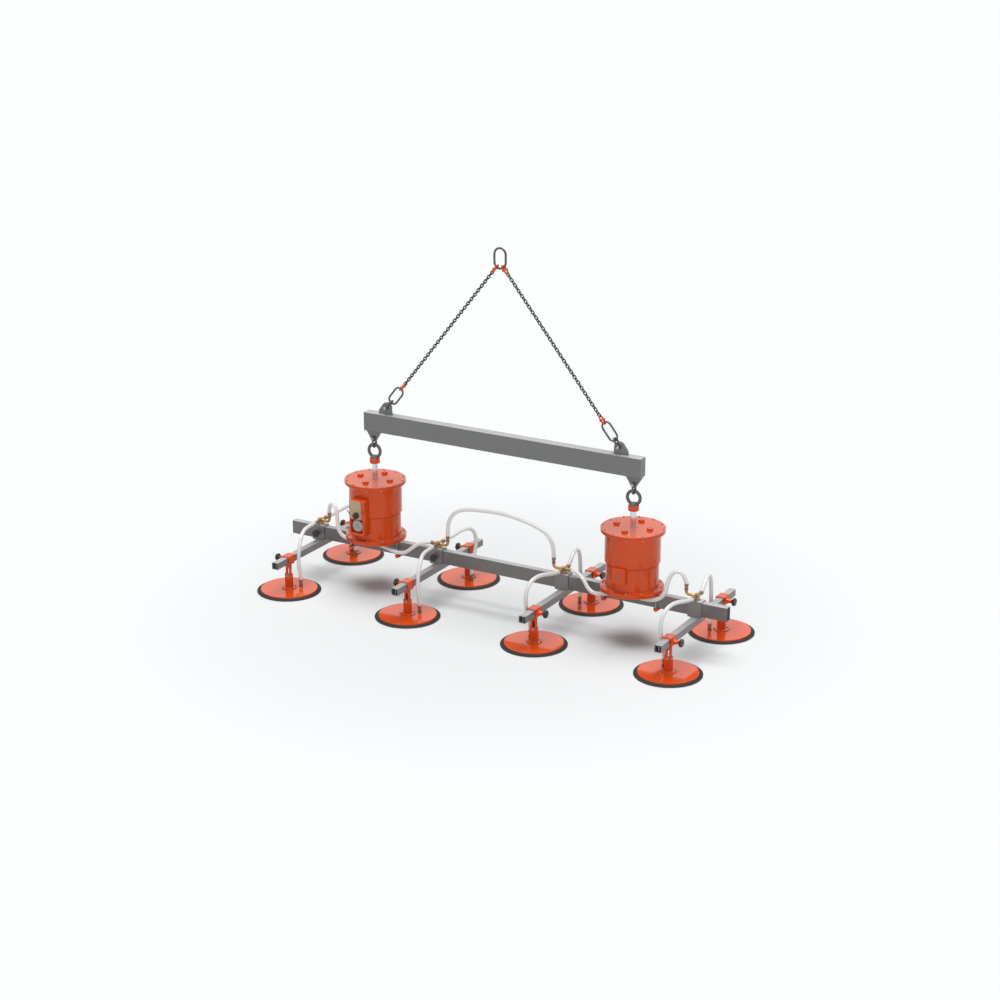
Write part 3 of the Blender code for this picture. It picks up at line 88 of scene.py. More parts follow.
BEAM_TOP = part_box("main_beam")[1].z
MANIFOLD_Z = BEAM_TOP + 0.0275
TEE_Y = -0.060
TEE_Z = BEAM_TOP - 0.0217
DISC_TOP = BEAM_TOP - 0.2742
NIPPLE_TOP = DISC_TOP + 0.040
CYLINDER_X = 0.805
ARM_X = (-1.183, -0.395, 0.395, 1.183)
PAD_X_OFFSET = 0.048
PAD_Y = 0.3266
NIPPLE_Y = PAD_Y - 0.047
BARB_END = 0.0585
OUTER_END = 0.0465
TEE_END = 0.0535
ELBOW_END = 0.0565
ELBOW_REACH = 0.0615
HOSE_PLAY = 0.0003


class Value:
    """A shader socket that takes part in sums."""

    def __init__(self, finish, socket):
        self.finish = finish
        self.socket = socket

    def _sum(self, operation, *values):
        return self.finish.node("ShaderNodeMath", {"operation": operation}, *values)

    def __add__(self, other):
        return self._sum("ADD", self, other)

    def __radd__(self, other):
        return self._sum("ADD", other, self)

    def __sub__(self, other):
        return self._sum("SUBTRACT", self, other)

    def __rsub__(self, other):
        return self._sum("SUBTRACT", other, self)

    def __mul__(self, other):
        return self._sum("MULTIPLY", self, other)

    def __rmul__(self, other):
        return self._sum("MULTIPLY", other, self)

    def __truediv__(self, other):
        return self._sum("DIVIDE", self, other)

    def __rtruediv__(self, other):
        return self._sum("DIVIDE", other, self)

    def __gt__(self, other):
        return self._sum("GREATER_THAN", self, other)

    def __lt__(self, other):
        return self._sum("LESS_THAN", self, other)

    def sine(self):
        return self._sum("SINE", self)

    def clamped(self):
        return self.finish.node("ShaderNodeClamp", {}, self)


class Finish:
    """A material: its shader, its coordinates, and one way to add any other node."""

    def __init__(self, name, **settings):
        self.material = bpy.data.materials.new(name)
        self.material.use_nodes = True
        self.tree = self.material.node_tree
        self.shader = self.tree.nodes["Principled BSDF"]
        self.set(**settings)

    def node(self, kind, settings, *values, output=0):
        made = self.tree.nodes.new(kind)
        stops = settings.pop("stops", None)
        for key, value in settings.items():
            setattr(made, key, value)
        if stops:
            ramp = made.color_ramp.elements
            ramp[0].position, ramp[0].color = stops[0][0], (*stops[0][1], 1.0)
            ramp[1].position, ramp[1].color = stops[-1][0], (*stops[-1][1], 1.0)
            for position, colour in stops[1:-1]:
                ramp.new(position).color = (*colour, 1.0)
        sockets = [socket for socket in made.inputs if socket.enabled]
        for socket, value in zip(sockets, values):
            self.join(socket, value)
        shown = [socket for socket in made.outputs if socket.enabled]
        return Value(self, shown[output])

    def join(self, socket, value):
        if isinstance(value, Value):
            self.tree.links.new(value.socket, socket)
        elif value is not None:
            if isinstance(value, tuple) and len(value) == 3 and socket.type == "RGBA":
                value = (*value, 1.0)
            socket.default_value = value

    def set(self, **values):
        """Values or links of the shader's sockets, by their names in lower case."""
        for key, value in values.items():
            self.join(self.shader.inputs[key.replace("_", " ").title().replace("Ior", "IOR")], value)

    def place(self):
        return self.node("ShaderNodeTexCoord", {}, output=3)

    def noise(self, scale, detail=2.0, roughness=0.5, stretch=None):
        spot = self.place()
        if stretch:
            spot = self.node("ShaderNodeMapping", {}, spot, None, None, stretch)
        return self.node("ShaderNodeTexNoise", {}, spot, scale, detail, roughness)

    def mix(self, share, first, second):
        return self.node("ShaderNodeMix", {"data_type": "RGBA"}, share, first, second)

    def bump(self, height, distance, strength=1.0):
        made = self.node("ShaderNodeBump", {})
        bump = made.socket.node
        bump.inputs["Strength"].default_value = strength
        bump.inputs["Distance"].default_value = distance
        self.join(bump.inputs["Height"], height)
        self.join(self.shader.inputs["Normal"], made)


def braided_hose():
    """Milky clear wall with a fine crossed braid that follows the hose."""
    finish = Finish("braided_hose", roughness=0.22, coat_weight=0.35, alpha=0.80)
    chart = finish.node("ShaderNodeUVMap", {})
    parts = finish.node("ShaderNodeSeparateXYZ", {}, chart)
    around = parts
    along = Value(finish, parts.socket.node.outputs["Y"])
    turn = around * (2 * math.pi * BRAID_THREADS)
    run = along * (2 * math.pi / BRAID_PITCH)
    left = (turn + run).sine() > THREAD_EDGE
    right = (turn - run).sine() > THREAD_EDGE
    thread = (left + right).clamped()
    cloud = finish.noise(9.0)
    wall = finish.mix(cloud, (0.93, 0.93, 0.93), (0.97, 0.97, 0.97))
    finish.set(base_color=finish.mix(thread * 0.8, wall, (0.62, 0.62, 0.61)))
    finish.bump(thread, 0.0002, 0.5)
    return finish.material


def tube(bm, line, radius, sides, closed=False):
    """A sheet rolled round a line. Its UV map runs once round it and in metres along it."""
    line = [Vector(point) for point in line]
    radii = list(radius) if isinstance(radius, (list, tuple)) else [radius] * len(line)
    if closed:
        line.append(line[0])
        radii.append(radii[0])
    last = len(line) - 1
    runs = [(b - a).normalized() for a, b in zip(line, line[1:])]
    headings = [(runs[i - 1] + runs[i]).normalized() for i in range(1, last)]
    if closed:
        headings = [(runs[-1] + runs[0]).normalized(), *headings, (runs[-1] + runs[0]).normalized()]
    else:
        headings = [runs[0], *headings, runs[-1]]
    across = headings[0].orthogonal().normalized()
    frames = []
    for heading in headings:
        across = (across - heading * across.dot(heading)).normalized()
        frames.append((across.copy(), heading.cross(across)))
    length = sum((b - a).length for a, b in zip(line, line[1:]))
    chart = bm.loops.layers.uv.verify()
    sheet = bmesh.ops.create_grid(bm, x_segments=sides, y_segments=last, size=1.0, calc_uvs=True)["verts"]
    for face in {face for vert in sheet for face in vert.link_faces}:
        for loop in face.loops:
            loop[chart].uv.y *= length
    for vert in sheet:
        turn = (vert.co.x + 1) * math.pi
        i = round((vert.co.y + 1) / 2 * last)
        right, up = frames[i]
        vert.co = line[i] + (right * math.cos(turn) + up * math.sin(turn)) * radii[i]
    bmesh.ops.remove_doubles(bm, verts=sheet, dist=1e-6)


def finished(name, bm, material, smooth_angle=35.0):
    """Closes a mesh, evens its shading and gives it its finish. Its place is in its vertices."""
    bmesh.ops.remove_doubles(bm, verts=bm.verts, dist=1e-6)
    bmesh.ops.holes_fill(bm, edges=bm.edges, sides=0)
    bmesh.ops.recalc_face_normals(bm, faces=bm.faces)
    mesh = bpy.data.meshes.new(name)
    bm.to_mesh(mesh)
    bm.free()
    mesh.materials.append(material)
    mesh.shade_smooth()
    mesh.set_sharp_from_angle(angle=math.radians(smooth_angle))
    obj = bpy.data.objects.new(name, mesh)
    bpy.context.scene.collection.objects.link(obj)
    even = obj.modifiers.new("even_shading", "WEIGHTED_NORMAL")
    even.keep_sharp = True
    return obj


def smooth_line(points, step):
    """An even run of points on a smooth curve through the chosen ones, straight at both ends."""
    points = [Vector(point) for point in points]
    fine = []
    for a, b, c, d in zip(points, points[1:], points[2:], points[3:]):
        for i in range(16):
            t = i / 16
            bend = (2 * a - 5 * b + 4 * c - d) * t * t + (3 * b - a - 3 * c + d) * t**3
            fine.append(b + (c - a) * t / 2 + bend / 2)
    first, last = points[0].lerp(points[1], 0.5), points[-1].lerp(points[-2], 0.5)
    fine = [points[0], first, *fine, points[-2], last, points[-1]]
    lengths = [0.0]
    for a, b in zip(fine, fine[1:]):
        lengths.append(lengths[-1] + (b - a).length)
    count = round(lengths[-1] / step)
    line, i = [], 0
    for k in range(count + 1):
        goal = lengths[-1] * k / count
        while i < len(fine) - 2 and lengths[i + 1] < goal:
            i += 1
        share = (goal - lengths[i]) / (lengths[i + 1] - lengths[i])
        line.append(fine[i].lerp(fine[i + 1], min(max(share, 0.0), 1.0)))
    for _ in range(3):
        line[2:-2] = [(a + 2 * b + c) / 4 for a, b, c in zip(line[1:], line[2:-2], line[3:])]
    return line


HOSE_FINISH = braided_hose()


def hose(name, line, bodies, start, end):
    """One length of hose between two bodies that a joint joins."""
    bm = bmesh.new()
    tube(bm, line, HOSE_DIAMETER / 2, HOSE_SIDES)
    piece = finished(name, bm, HOSE_FINISH)
    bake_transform(piece)
    length = sum((b - a).length for a, b in zip(line, line[1:]))
    return piece


# Share of the way over to the nipple, distance from the beam, rise above the manifold
PAD_HOSE_ROUTES = {
    "short": (
        (0.08, 0.110, 0.000), (0.30, 0.185, -0.001), (0.62, 0.244, -0.035),
        (0.84, 0.280, -0.105), (0.95, 0.291, -0.182),
    ),
    "wide": (
        (0.08, 0.130, 0.014), (0.25, 0.230, 0.038), (0.45, 0.315, 0.034),
        (0.66, 0.355, -0.018), (0.82, 0.345, -0.098), (0.94, 0.306, -0.182),
    ),
    "low": (
        (0.08, 0.130, 0.000), (0.25, 0.230, 0.008), (0.45, 0.305, 0.000),
        (0.66, 0.345, -0.040), (0.82, 0.343, -0.100), (0.94, 0.306, -0.182),
    ),
    "arched": (
        (0.06, 0.095, 0.036), (0.22, 0.150, 0.060), (0.48, 0.215, 0.030),
        (0.72, 0.256, -0.050), (0.90, 0.274, -0.140),
    ),
}
PAD_HOSE_KINDS = {
    "near_1": "short", "near_2": "short", "near_3": "wide", "near_4": "wide",
    "far_1": "low", "far_2": "low", "far_3": "arched", "far_4": "arched",
}
PAD_HOSE_DROP = 0.155
PAD_HOSE_BLEND = (0.075, 0.270)


def pad_places():
    """Each pad's name, arm number, side of the beam, centre and nipple."""
    for index, x in enumerate(ARM_X):
        for side, word in ((-1, "near"), (1, "far")):
            nipple = Vector((x - math.copysign(PAD_X_OFFSET, x), side * NIPPLE_Y, NIPPLE_TOP))
            yield f"{word}_{index + 1}", index, side, Vector((x, side * PAD_Y, DISC_TOP)), nipple


for name, index, side, centre, nipple in pad_places():
    x = ARM_X[index]
    lean = nipple.x - x
    points = [(x, side * BARB_END, MANIFOLD_Z)]
    points += [
        (x + lean * share, side * across, MANIFOLD_Z + rise)
        for share, across, rise in PAD_HOSE_ROUTES[PAD_HOSE_KINDS[name]]
    ]
    points += [(nipple.x, nipple.y, nipple.z + 2 * HOSE_DIAMETER), (nipple.x, nipple.y, nipple.z + HOSE_PLAY)]
    line = smooth_line(points, HOSE_STEP / 2)
    parting = next(i for i, point in enumerate(line) if (len(line) - 1 - i) * HOSE_STEP / 2 < PAD_HOSE_DROP)
    hose(
        f"pad_hose_{name}",
        line[:parting + 1],
        (f"arm_slide_{index + 1}", f"clamp_slide_{name}"),
        *[(x, side * across, MANIFOLD_Z) for across in PAD_HOSE_BLEND],
    )
    fall = line[parting]
    hose(
        f"pad_hose_end_{name}",
        line[parting:],
        (f"clamp_slide_{name}", f"pad_float_{name}"),
        (fall.x, fall.y, fall.z - 0.010),
        (fall.x, fall.y, nipple.z + 0.030),
    )

x1, x2, x3, x4 = ARM_X
left, right = -CYLINDER_X, CYLINDER_X
y, mz = TEE_Y, MANIFOLD_Z
elbow_top = mz + ELBOW_END
TRUNK_ROUTES = {
    "trunk_hose_1": [
        (x1 + ELBOW_REACH, 0, elbow_top), (x1 + 0.065, -0.002, mz + 0.100),
        (x1 + 0.090, -0.008, mz + 0.120), (x1 + 0.125, -0.022, mz + 0.095),
        (x1 + 0.142, -0.038, mz + 0.030), (x1 + 0.160, -0.052, mz - 0.020),
        (x1 + 0.205, -0.060, mz - 0.049), (left - 0.110, y, TEE_Z + 0.002),
        (left - TEE_END, y, TEE_Z),
    ],
    "trunk_hose_2": [
        (left + TEE_END, y, TEE_Z), (left + 0.100, y, TEE_Z - 0.010),
        (left + 0.180, y, TEE_Z - 0.026), (left + 0.235, y + 0.004, mz - 0.064),
        (left + 0.275, y + 0.018, mz - 0.030), (left + 0.315, y + 0.040, mz - 0.004),
        (x2 - OUTER_END, 0, mz),
    ],
    "trunk_hose_3": [
        (x2 + ELBOW_REACH, 0, elbow_top), (x2 + 0.063, 0, mz + 0.112),
        (x2 + 0.085, 0, mz + 0.175), (x2 + 0.140, 0, mz + 0.219),
        (x2 + 0.235, 0, mz + 0.239), (0.0, 0, mz + 0.248),
        (x3 - 0.285, 0, mz + 0.237), (x3 - 0.165, 0, mz + 0.210),
        (x3 - 0.095, 0, mz + 0.172), (x3 - 0.064, 0, mz + 0.112),
        (x3 - ELBOW_REACH, 0, elbow_top),
    ],
    "trunk_hose_4": [
        (x3 + OUTER_END, 0, mz), (x3 + 0.085, -0.010, mz - 0.001),
        (x3 + 0.130, -0.030, mz - 0.015), (x3 + 0.168, -0.050, mz - 0.050),
        (right - 0.200, y, TEE_Z - 0.027), (right - 0.110, y, TEE_Z - 0.012),
        (right - TEE_END, y, TEE_Z),
    ],
    "trunk_hose_5": [
        (right + TEE_END, y, TEE_Z), (right + 0.105, y, TEE_Z - 0.002),
        (right + 0.165, y + 0.004, mz - 0.046), (x4 - 0.160, -0.048, mz - 0.006),
        (x4 - 0.158, -0.032, mz + 0.050), (x4 - 0.140, -0.014, mz + 0.102),
        (x4 - 0.108, -0.004, mz + 0.121), (x4 - 0.075, 0, mz + 0.098),
        (x4 - ELBOW_REACH, 0, elbow_top),
    ],
}
lines = {name: smooth_line(points, HOSE_STEP / 2) for name, points in TRUNK_ROUTES.items()}
middle = len(lines["trunk_hose_3"]) // 2
TRUNK_RUNS = (
    ("trunk_hose_1", lines["trunk_hose_1"], ("arm_slide_1", "frame"), x1 + 0.07, left - 0.09),
    ("trunk_hose_2", lines["trunk_hose_2"], ("frame", "arm_slide_2"), left + 0.08, x2 - 0.06),
    ("trunk_hose_3_left", lines["trunk_hose_3"][:middle + 1], ("arm_slide_2", "frame"), x2 + 0.07, 0.0),
    ("trunk_hose_3_right", lines["trunk_hose_3"][middle:], ("frame", "arm_slide_3"), 0.0, x3 - 0.07),
    ("trunk_hose_4", lines["trunk_hose_4"], ("arm_slide_3", "frame"), x3 + 0.06, right - 0.08),
    ("trunk_hose_5", lines["trunk_hose_5"], ("frame", "arm_slide_4"), right + 0.09, x4 - 0.07),
)
hoses = [
    hose(name, line, bodies, (start, 0.0, mz), (end, 0.0, mz))
    for name, line, bodies, start, end in TRUNK_RUNS
]
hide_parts("vacuum_line")


# The master link. One oval of 12 mm round alloy bar, welded shut and stove-dulled; the crane's
# hook carries it at the top of its bend.
MASTER_WIRE = 0.012
MASTER_LENGTH = 0.097
MASTER_WIDTH = 0.056


def forged_steel(name, dark, light, roughness=0.42, metallic=0.75):
    """Bare or oiled forged steel: cloudy scale, fine pits and a soft shine."""
    finish = Finish(name, metallic=metallic)
    cloud = finish.noise(60.0, 4.0, 0.6)
    finish.set(base_color=finish.mix(cloud, dark, light), roughness=roughness - 0.1 + cloud * 0.2)
    finish.bump(finish.noise(900.0, 3.0, 0.6), 0.0002, 0.35)
    return finish.material


def oval(start, inner_length, inner_width, thickness, steps=9):
    """The mean line of an oval link as (across, along), its inner end at start."""
    radius = (inner_width + thickness) / 2
    near = start - thickness / 2 + radius
    far = start + inner_length + thickness / 2 - radius
    turns = [math.pi * i / steps for i in range(steps + 1)]
    crown = [(radius * math.cos(turn), far + radius * math.sin(turn)) for turn in turns]
    foot = [(-radius * math.cos(turn), near - radius * math.sin(turn)) for turn in turns]
    return crown + foot


def fixed(name, bm, material, body, slot_name, *nodes, smooth_angle=35.0):
    """Finishes a piece, fixes it to its body and hides the solids it stands for."""
    piece = finished(name, bm, material, smooth_angle)
    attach(piece, body)
    if nodes:
        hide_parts(*nodes)
    return piece


LINK_STEEL = forged_steel("link_steel", (0.090, 0.090, 0.086), (0.155, 0.155, 0.148))
bm = bmesh.new()
outline = oval(0.0, MASTER_LENGTH, MASTER_WIDTH, MASTER_WIRE, 14)
tube(bm, [(across, 0.0, -along) for across, along in outline], MASTER_WIRE / 2, 20, closed=True)
fixed("master_link_forged", bm, LINK_STEEL, "hook_point", "grey_paint", "master_link")


# The chain legs. Each has 53 short links of 6 mm chain between two orange coupling links, and an
# oval ring at its foot. The links are turned a quarter from one to the next.
RIGHT, BACK, UP = Vector((1.0, 0.0, 0.0)), Vector((0.0, 1.0, 0.0)), Vector((0.0, 0.0, 1.0))
LEFT, FRONT, DOWN = Vector((-1.0, 0.0, 0.0)), Vector((0.0, -1.0, 0.0)), Vector((0.0, 0.0, -1.0))
SIDES = ((-1, "left"), (1, "right"))
LINK_ARC_Z = MASTER_WIDTH / 2 - MASTER_LENGTH
CHAIN_LINKS = 53
CHAIN_PITCH = 0.0168
CHAIN_WIRE = 0.0062
CHAIN_INNER = (0.0160, 0.0092)
CHAIN_START = 0.0697
CHAIN_SEAT = 0.0153
COUPLING_STARTS = (0.0272, CHAIN_START + CHAIN_LINKS * CHAIN_PITCH)
COUPLING_INNER = (0.041, 0.018)
COUPLING_WIRE = 0.0095
RING_START = COUPLING_STARTS[1] + 0.0425
RING_INNER = (0.100, 0.041)
RING_WIRE = 0.011
UPPER_LUG_X = 0.7175
LEG_REACH = RING_START + 0.1452
UPPER_PIN_Z = LINK_ARC_Z - math.sqrt(LEG_REACH**2 - UPPER_LUG_X**2)


def orange_paint(name, wear=0.5):
    """Orange enamel with a faint orange peel and dust in the grain, glossiest on level upper faces."""
    finish = Finish(name, ior=1.42)
    normal = finish.node("ShaderNodeTexCoord", {}, output=1)
    facing = finish.node("ShaderNodeSeparateXYZ", {}, normal, output=2)
    cloud = finish.noise(5.0, 3.0)
    fleck = (finish.noise(420.0, 2.0, 0.7) > 0.74) * wear
    tone = finish.mix(cloud, (0.65, 0.064, 0.003), (0.73, 0.082, 0.005))
    finish.set(
        base_color=finish.mix(fleck, tone, (0.54, 0.053, 0.003)),
        roughness=0.06 + cloud * 0.05,
        coat_weight=((facing - 0.9) * 10.0).clamped() * 0.65,
    )
    finish.bump(finish.noise(260.0, 2.0), 0.0006, 0.08)
    return finish.material


def leg_frame(side, edge_on, along):
    """The place of a link on a leg: its width, the way down the leg, and its thickness."""
    down = Vector((side * UPPER_LUG_X, 0.0, UPPER_PIN_Z - LINK_ARC_Z)).normalized()
    width = BACK if edge_on else Vector((down.z, 0.0, -down.x))
    place = Matrix((width, down, width.cross(down))).transposed().to_4x4()
    place.translation = Vector((0.0, 0.0, LINK_ARC_Z)) + down * along
    return place


def placed_tube(bm, outline, place, radius, sides):
    """A closed ring of round bar, its outline given in the plane of place."""
    tube(bm, [place @ Vector((across, along, 0.0)) for across, along in outline], radius, sides, closed=True)


def standing(spot, way):
    """The place of something that stands on spot and points along way."""
    return Matrix.Translation(spot) @ Vector(way).to_track_quat("Z", "Y").to_matrix().to_4x4()


def turned(bm, profile, centre, axis=UP, steps=48, closed=False):
    """A profile of (radius, height) spun once round an axis. Its open ends run in to the axis."""
    if not closed:
        start, end = profile[0], profile[-1]
        profile = [(0.0, start[1])] * (start[0] > 0) + profile + [(0.0, end[1])] * (end[0] > 0)
    place = standing(centre, axis)
    verts = [bm.verts.new(place @ Vector((radius, 0.0, height))) for radius, height in profile]
    edges = [bm.edges.new(pair) for pair in zip(verts, verts[1:])]
    if closed:
        edges.append(bm.edges.new((verts[-1], verts[0])))
    bmesh.ops.spin(
        bm, geom=verts + edges, cent=centre, axis=axis, angle=2 * math.pi, steps=steps, use_merge=True
    )
    bmesh.ops.remove_doubles(bm, verts=bm.verts, dist=1e-6)


ORANGE = orange_paint("orange_enamel")
CHAIN_STEEL = forged_steel("chain_steel_oiled", (0.028, 0.028, 0.026), (0.075, 0.073, 0.068), 0.38)
PIN_STEEL = forged_steel("pin_steel", (0.30, 0.30, 0.29), (0.42, 0.42, 0.41), 0.32, 0.85)
for side, word in SIDES:
    bm = bmesh.new()
    link = oval(-CHAIN_INNER[0] / 2, *CHAIN_INNER, CHAIN_WIRE, 4)
    for number in range(CHAIN_LINKS):
        middle = CHAIN_START + number * CHAIN_PITCH + CHAIN_SEAT / 2
        placed_tube(bm, link, leg_frame(side, number % 2 == 1, middle), CHAIN_WIRE / 2, 8)
    fixed(f"{word}_chain", bm, CHAIN_STEEL, "sling", "chain_steel", f"{word}_chain_leg")
    bm = bmesh.new()
    for start in COUPLING_STARTS:
        place = leg_frame(side, True, start + COUPLING_INNER[0] / 2)
        coupling = oval(-COUPLING_INNER[0] / 2, *COUPLING_INNER, COUPLING_WIRE, 7)
        placed_tube(bm, coupling, place, COUPLING_WIRE / 2, 12)
        for end in (-1, 1):
            cheek = place @ Vector((end * (COUPLING_INNER[1] + COUPLING_WIRE) / 2, 0.0, 0.0))
            turned(bm, [
                (0.0070, -0.0062), (0.0078, -0.0052), (0.0078, 0.0052), (0.0070, 0.0062),
            ], cheek, BACK, 20)
    fixed(f"{word}_couplings", bm, ORANGE, "sling", "orange_paint")
    bm = bmesh.new()
    for start in COUPLING_STARTS:
        middle = leg_frame(side, True, start + COUPLING_INNER[0] / 2).translation
        half = COUPLING_INNER[1] / 2 + COUPLING_WIRE
        turned(bm, [
            (0.0038, -half), (0.0038, -0.0085), (0.0062, -0.0075), (0.0062, 0.0075), (0.0038, 0.0085),
            (0.0038, half),
        ], middle, BACK, 20)
    fixed(f"{word}_coupling_pins", bm, PIN_STEEL, "sling", "chain_steel")
    bm = bmesh.new()
    ring = oval(0.0, *RING_INNER, RING_WIRE, 10)
    placed_tube(bm, ring, leg_frame(side, False, RING_START), RING_WIRE / 2, 16)
    fixed(f"{word}_ring", bm, LINK_STEEL, "sling", "chain_steel")


# The shackles. A bow of 12 mm bar with two bored ears, and a pin with a round head, screwed into
# the far ear. Two join the oval rings to the spreader's lugs, two hang the lifting eyes below it.
SHACKLE_WIRE = 0.012
SHACKLE_ARM = 0.016
SHACKLE_BOW = 0.036
SHACKLE_PIN = 0.0055
SPREADER_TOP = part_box("spreader_beam")[1].z - 0.0678
SPREADER_BOTTOM = SPREADER_TOP - 0.106
LOWER_LUG_DROP = 0.0442
LOWER_PIN_Z = SPREADER_BOTTOM - LOWER_LUG_DROP

SHACKLE_STEEL = forged_steel("shackle_steel", (0.085, 0.085, 0.08), (0.17, 0.17, 0.16), 0.40)


def shackle(node, pin, toward, body):
    """A pin and its bow, which reaches from the pin in the direction toward."""
    pin, toward = Vector(pin), toward.normalized()
    across = BACK
    bm = bmesh.new()
    turns = [math.pi * i / 14 for i in range(15)]
    bow = [(SHACKLE_ARM * math.cos(turn), SHACKLE_BOW + SHACKLE_ARM * math.sin(turn)) for turn in turns]
    outline = [(SHACKLE_ARM, 0.0), (SHACKLE_ARM, 0.018), *bow, (-SHACKLE_ARM, 0.018), (-SHACKLE_ARM, 0.0)]
    tube(bm, [pin + across * y + toward * along for y, along in outline], SHACKLE_WIRE / 2, 16)
    for sign in (-1, 1):
        ear = pin + across * sign * SHACKLE_ARM
        turned(bm, [
            (0.0108, -0.0060), (0.0119, -0.0048), (0.0119, 0.0048), (0.0108, 0.0060),
        ], ear, across, 28)
    fixed(f"{node}_forged", bm, SHACKLE_STEEL, body, "chain_steel", node)
    bm = bmesh.new()
    turned(bm, [
        (0.0080, -0.0275), (0.0089, -0.0262), (0.0089, -0.0222), (SHACKLE_PIN, -0.0218),
        (SHACKLE_PIN, 0.0238), (0.0045, 0.0249),
    ], pin, across, 28)
    fixed(f"{node}_forged_pin", bm, PIN_STEEL, body, "chain_steel")


for side, word in SIDES:
    up_leg = -(leg_frame(side, True, 0.0).to_3x3() @ BACK)
    shackle(f"{word}_upper_shackle", (side * UPPER_LUG_X, 0.0, UPPER_PIN_Z), up_leg, "spreader")
    shackle(f"{word}_lower_shackle", (side * CYLINDER_X, 0.0, LOWER_PIN_Z), DOWN, f"{word}_hanger")


# The spreader beam. A closed box of 5 mm plate, 1.71 m long, with end plates, two slanted lugs on
# top for the sling and two tapered ones below for the cylinders, all welded on and painted grey.
SPREADER_HALF = 0.855
SPREADER_DEPTH = 0.0295
LUG_THICKNESS = 0.016
LUG_EDGE = 0.0012
LUG_SINK = 0.002
UPPER_LUG_FOOT = (-0.0325, 0.0495)
UPPER_LUG_SHOULDER = 0.020
UPPER_LUG_RISE = 0.0388
UPPER_LUG_ROUND = 0.029
LOWER_LUG_HALF = 0.050
LOWER_LUG_ROUND = 0.019
WELD_BEAD = 0.0035
# Half the height of the band round each given top in which the grey gets its painted highlight.
HIGHLIGHT_BAND_DEPTH = 0.0012


def grey_paint(name, dark=(0.155, 0.158, 0.157), light=(0.192, 0.196, 0.195), grain=1.0, lit_tops=()):
    """Grey enamel on rolled steel: cloudy tone, fine grain, rubbed specks, and a painted highlight on level
    upper faces.
    """
    finish = Finish(name, metallic=0.25, coat_weight=0.25, coat_roughness=0.25)
    cloud = finish.noise(7.0, 4.0, 0.55)
    speck = (finish.noise(260.0, 3.0, 0.65) > 0.72) * 0.35
    tone = finish.mix(speck, finish.mix(cloud, dark, light), (0.32, 0.33, 0.33))
    # Level faces at the given top heights are painted pale: a painted highlight that stands in for the bright
    # sky they mirror.
    if lit_tops:
        parts = finish.node("ShaderNodeSeparateXYZ", {}, finish.place())
        height = Value(finish, parts.socket.node.outputs["Z"])
        highlight_band = sum(((height > top - HIGHLIGHT_BAND_DEPTH) * (height < top + HIGHLIGHT_BAND_DEPTH) for top in lit_tops), cloud * 0.0)
        painted_highlight = finish.mix(finish.noise(14.0, 4.0, 0.6), (0.38, 0.38, 0.375), (0.55, 0.55, 0.545))
        tone = finish.mix(highlight_band.clamped() * 0.92, tone, painted_highlight)
    finish.set(
        base_color=tone,
        roughness=0.36 + cloud * 0.16,
    )
    finish.bump(finish.noise(500.0, 3.0, 0.6), 0.0003, 0.16 * grain)
    return finish.material


def softened(bm, edges, size, segments=2):
    """Rounds edges over."""
    bmesh.ops.bevel(
        bm, geom=edges, offset=size, segments=segments, profile=0.5, affect="EDGES", material=-1
    )


def block(bm, low, high, edge=0.0, segments=2):
    """A block between two corners, its edges rounded."""
    low, high = Vector(low), Vector(high)
    place = Matrix.Translation((low + high) / 2) @ Matrix.Diagonal((*(high - low), 1.0))
    verts = bmesh.ops.create_cube(bm, size=1.0, matrix=place)["verts"]
    if edge:
        softened(bm, list({e for vert in verts for e in vert.link_edges}), edge, segments)


def plate(bm, outline, thickness, place, edge=0.0):
    """A flat outline in the local XY plane, thickened evenly to both sides, its rims rounded."""
    verts = [bm.verts.new(place @ Vector((x, y, -thickness / 2))) for x, y in outline]
    face = bm.faces.new(verts)
    made = bmesh.ops.extrude_face_region(bm, geom=[face])["geom"]
    top = [part for part in made if isinstance(part, bmesh.types.BMVert)]
    way = place.to_3x3() @ Vector((0.0, 0.0, thickness))
    bmesh.ops.translate(bm, verts=top, vec=way)
    rims = list(face.edges) + [part for part in made if isinstance(part, bmesh.types.BMEdge)]
    if edge:
        softened(bm, rims, edge)


def upright(centre):
    """Outline X is world X, outline Y is world Z, thickness along Y."""
    return Matrix.Translation(centre) @ Matrix(((1, 0, 0, 0), (0, 0, -1, 0), (0, 1, 0, 0), (0, 0, 0, 1)))


def sideways(centre):
    """Outline X is world Y, outline Y is world Z, thickness along X."""
    return Matrix.Translation(centre) @ Matrix(((0, 0, 1, 0), (1, 0, 0, 0), (0, 1, 0, 0), (0, 0, 0, 1)))


def arc(centre, radius, start, end, steps):
    """Points round an arc, angles in degrees."""
    turns = [math.radians(start + (end - start) * i / steps) for i in range(steps + 1)]
    return [(centre[0] + radius * math.cos(turn), centre[1] + radius * math.sin(turn)) for turn in turns]


def tangent_angle(point, centre, radius, side):
    """Where a line from point touches the circle on the given side, as an angle about centre."""
    across, up = point[0] - centre[0], point[1] - centre[1]
    spread = math.acos(radius / math.hypot(across, up))
    return math.degrees(math.atan2(up, across) + side * spread)
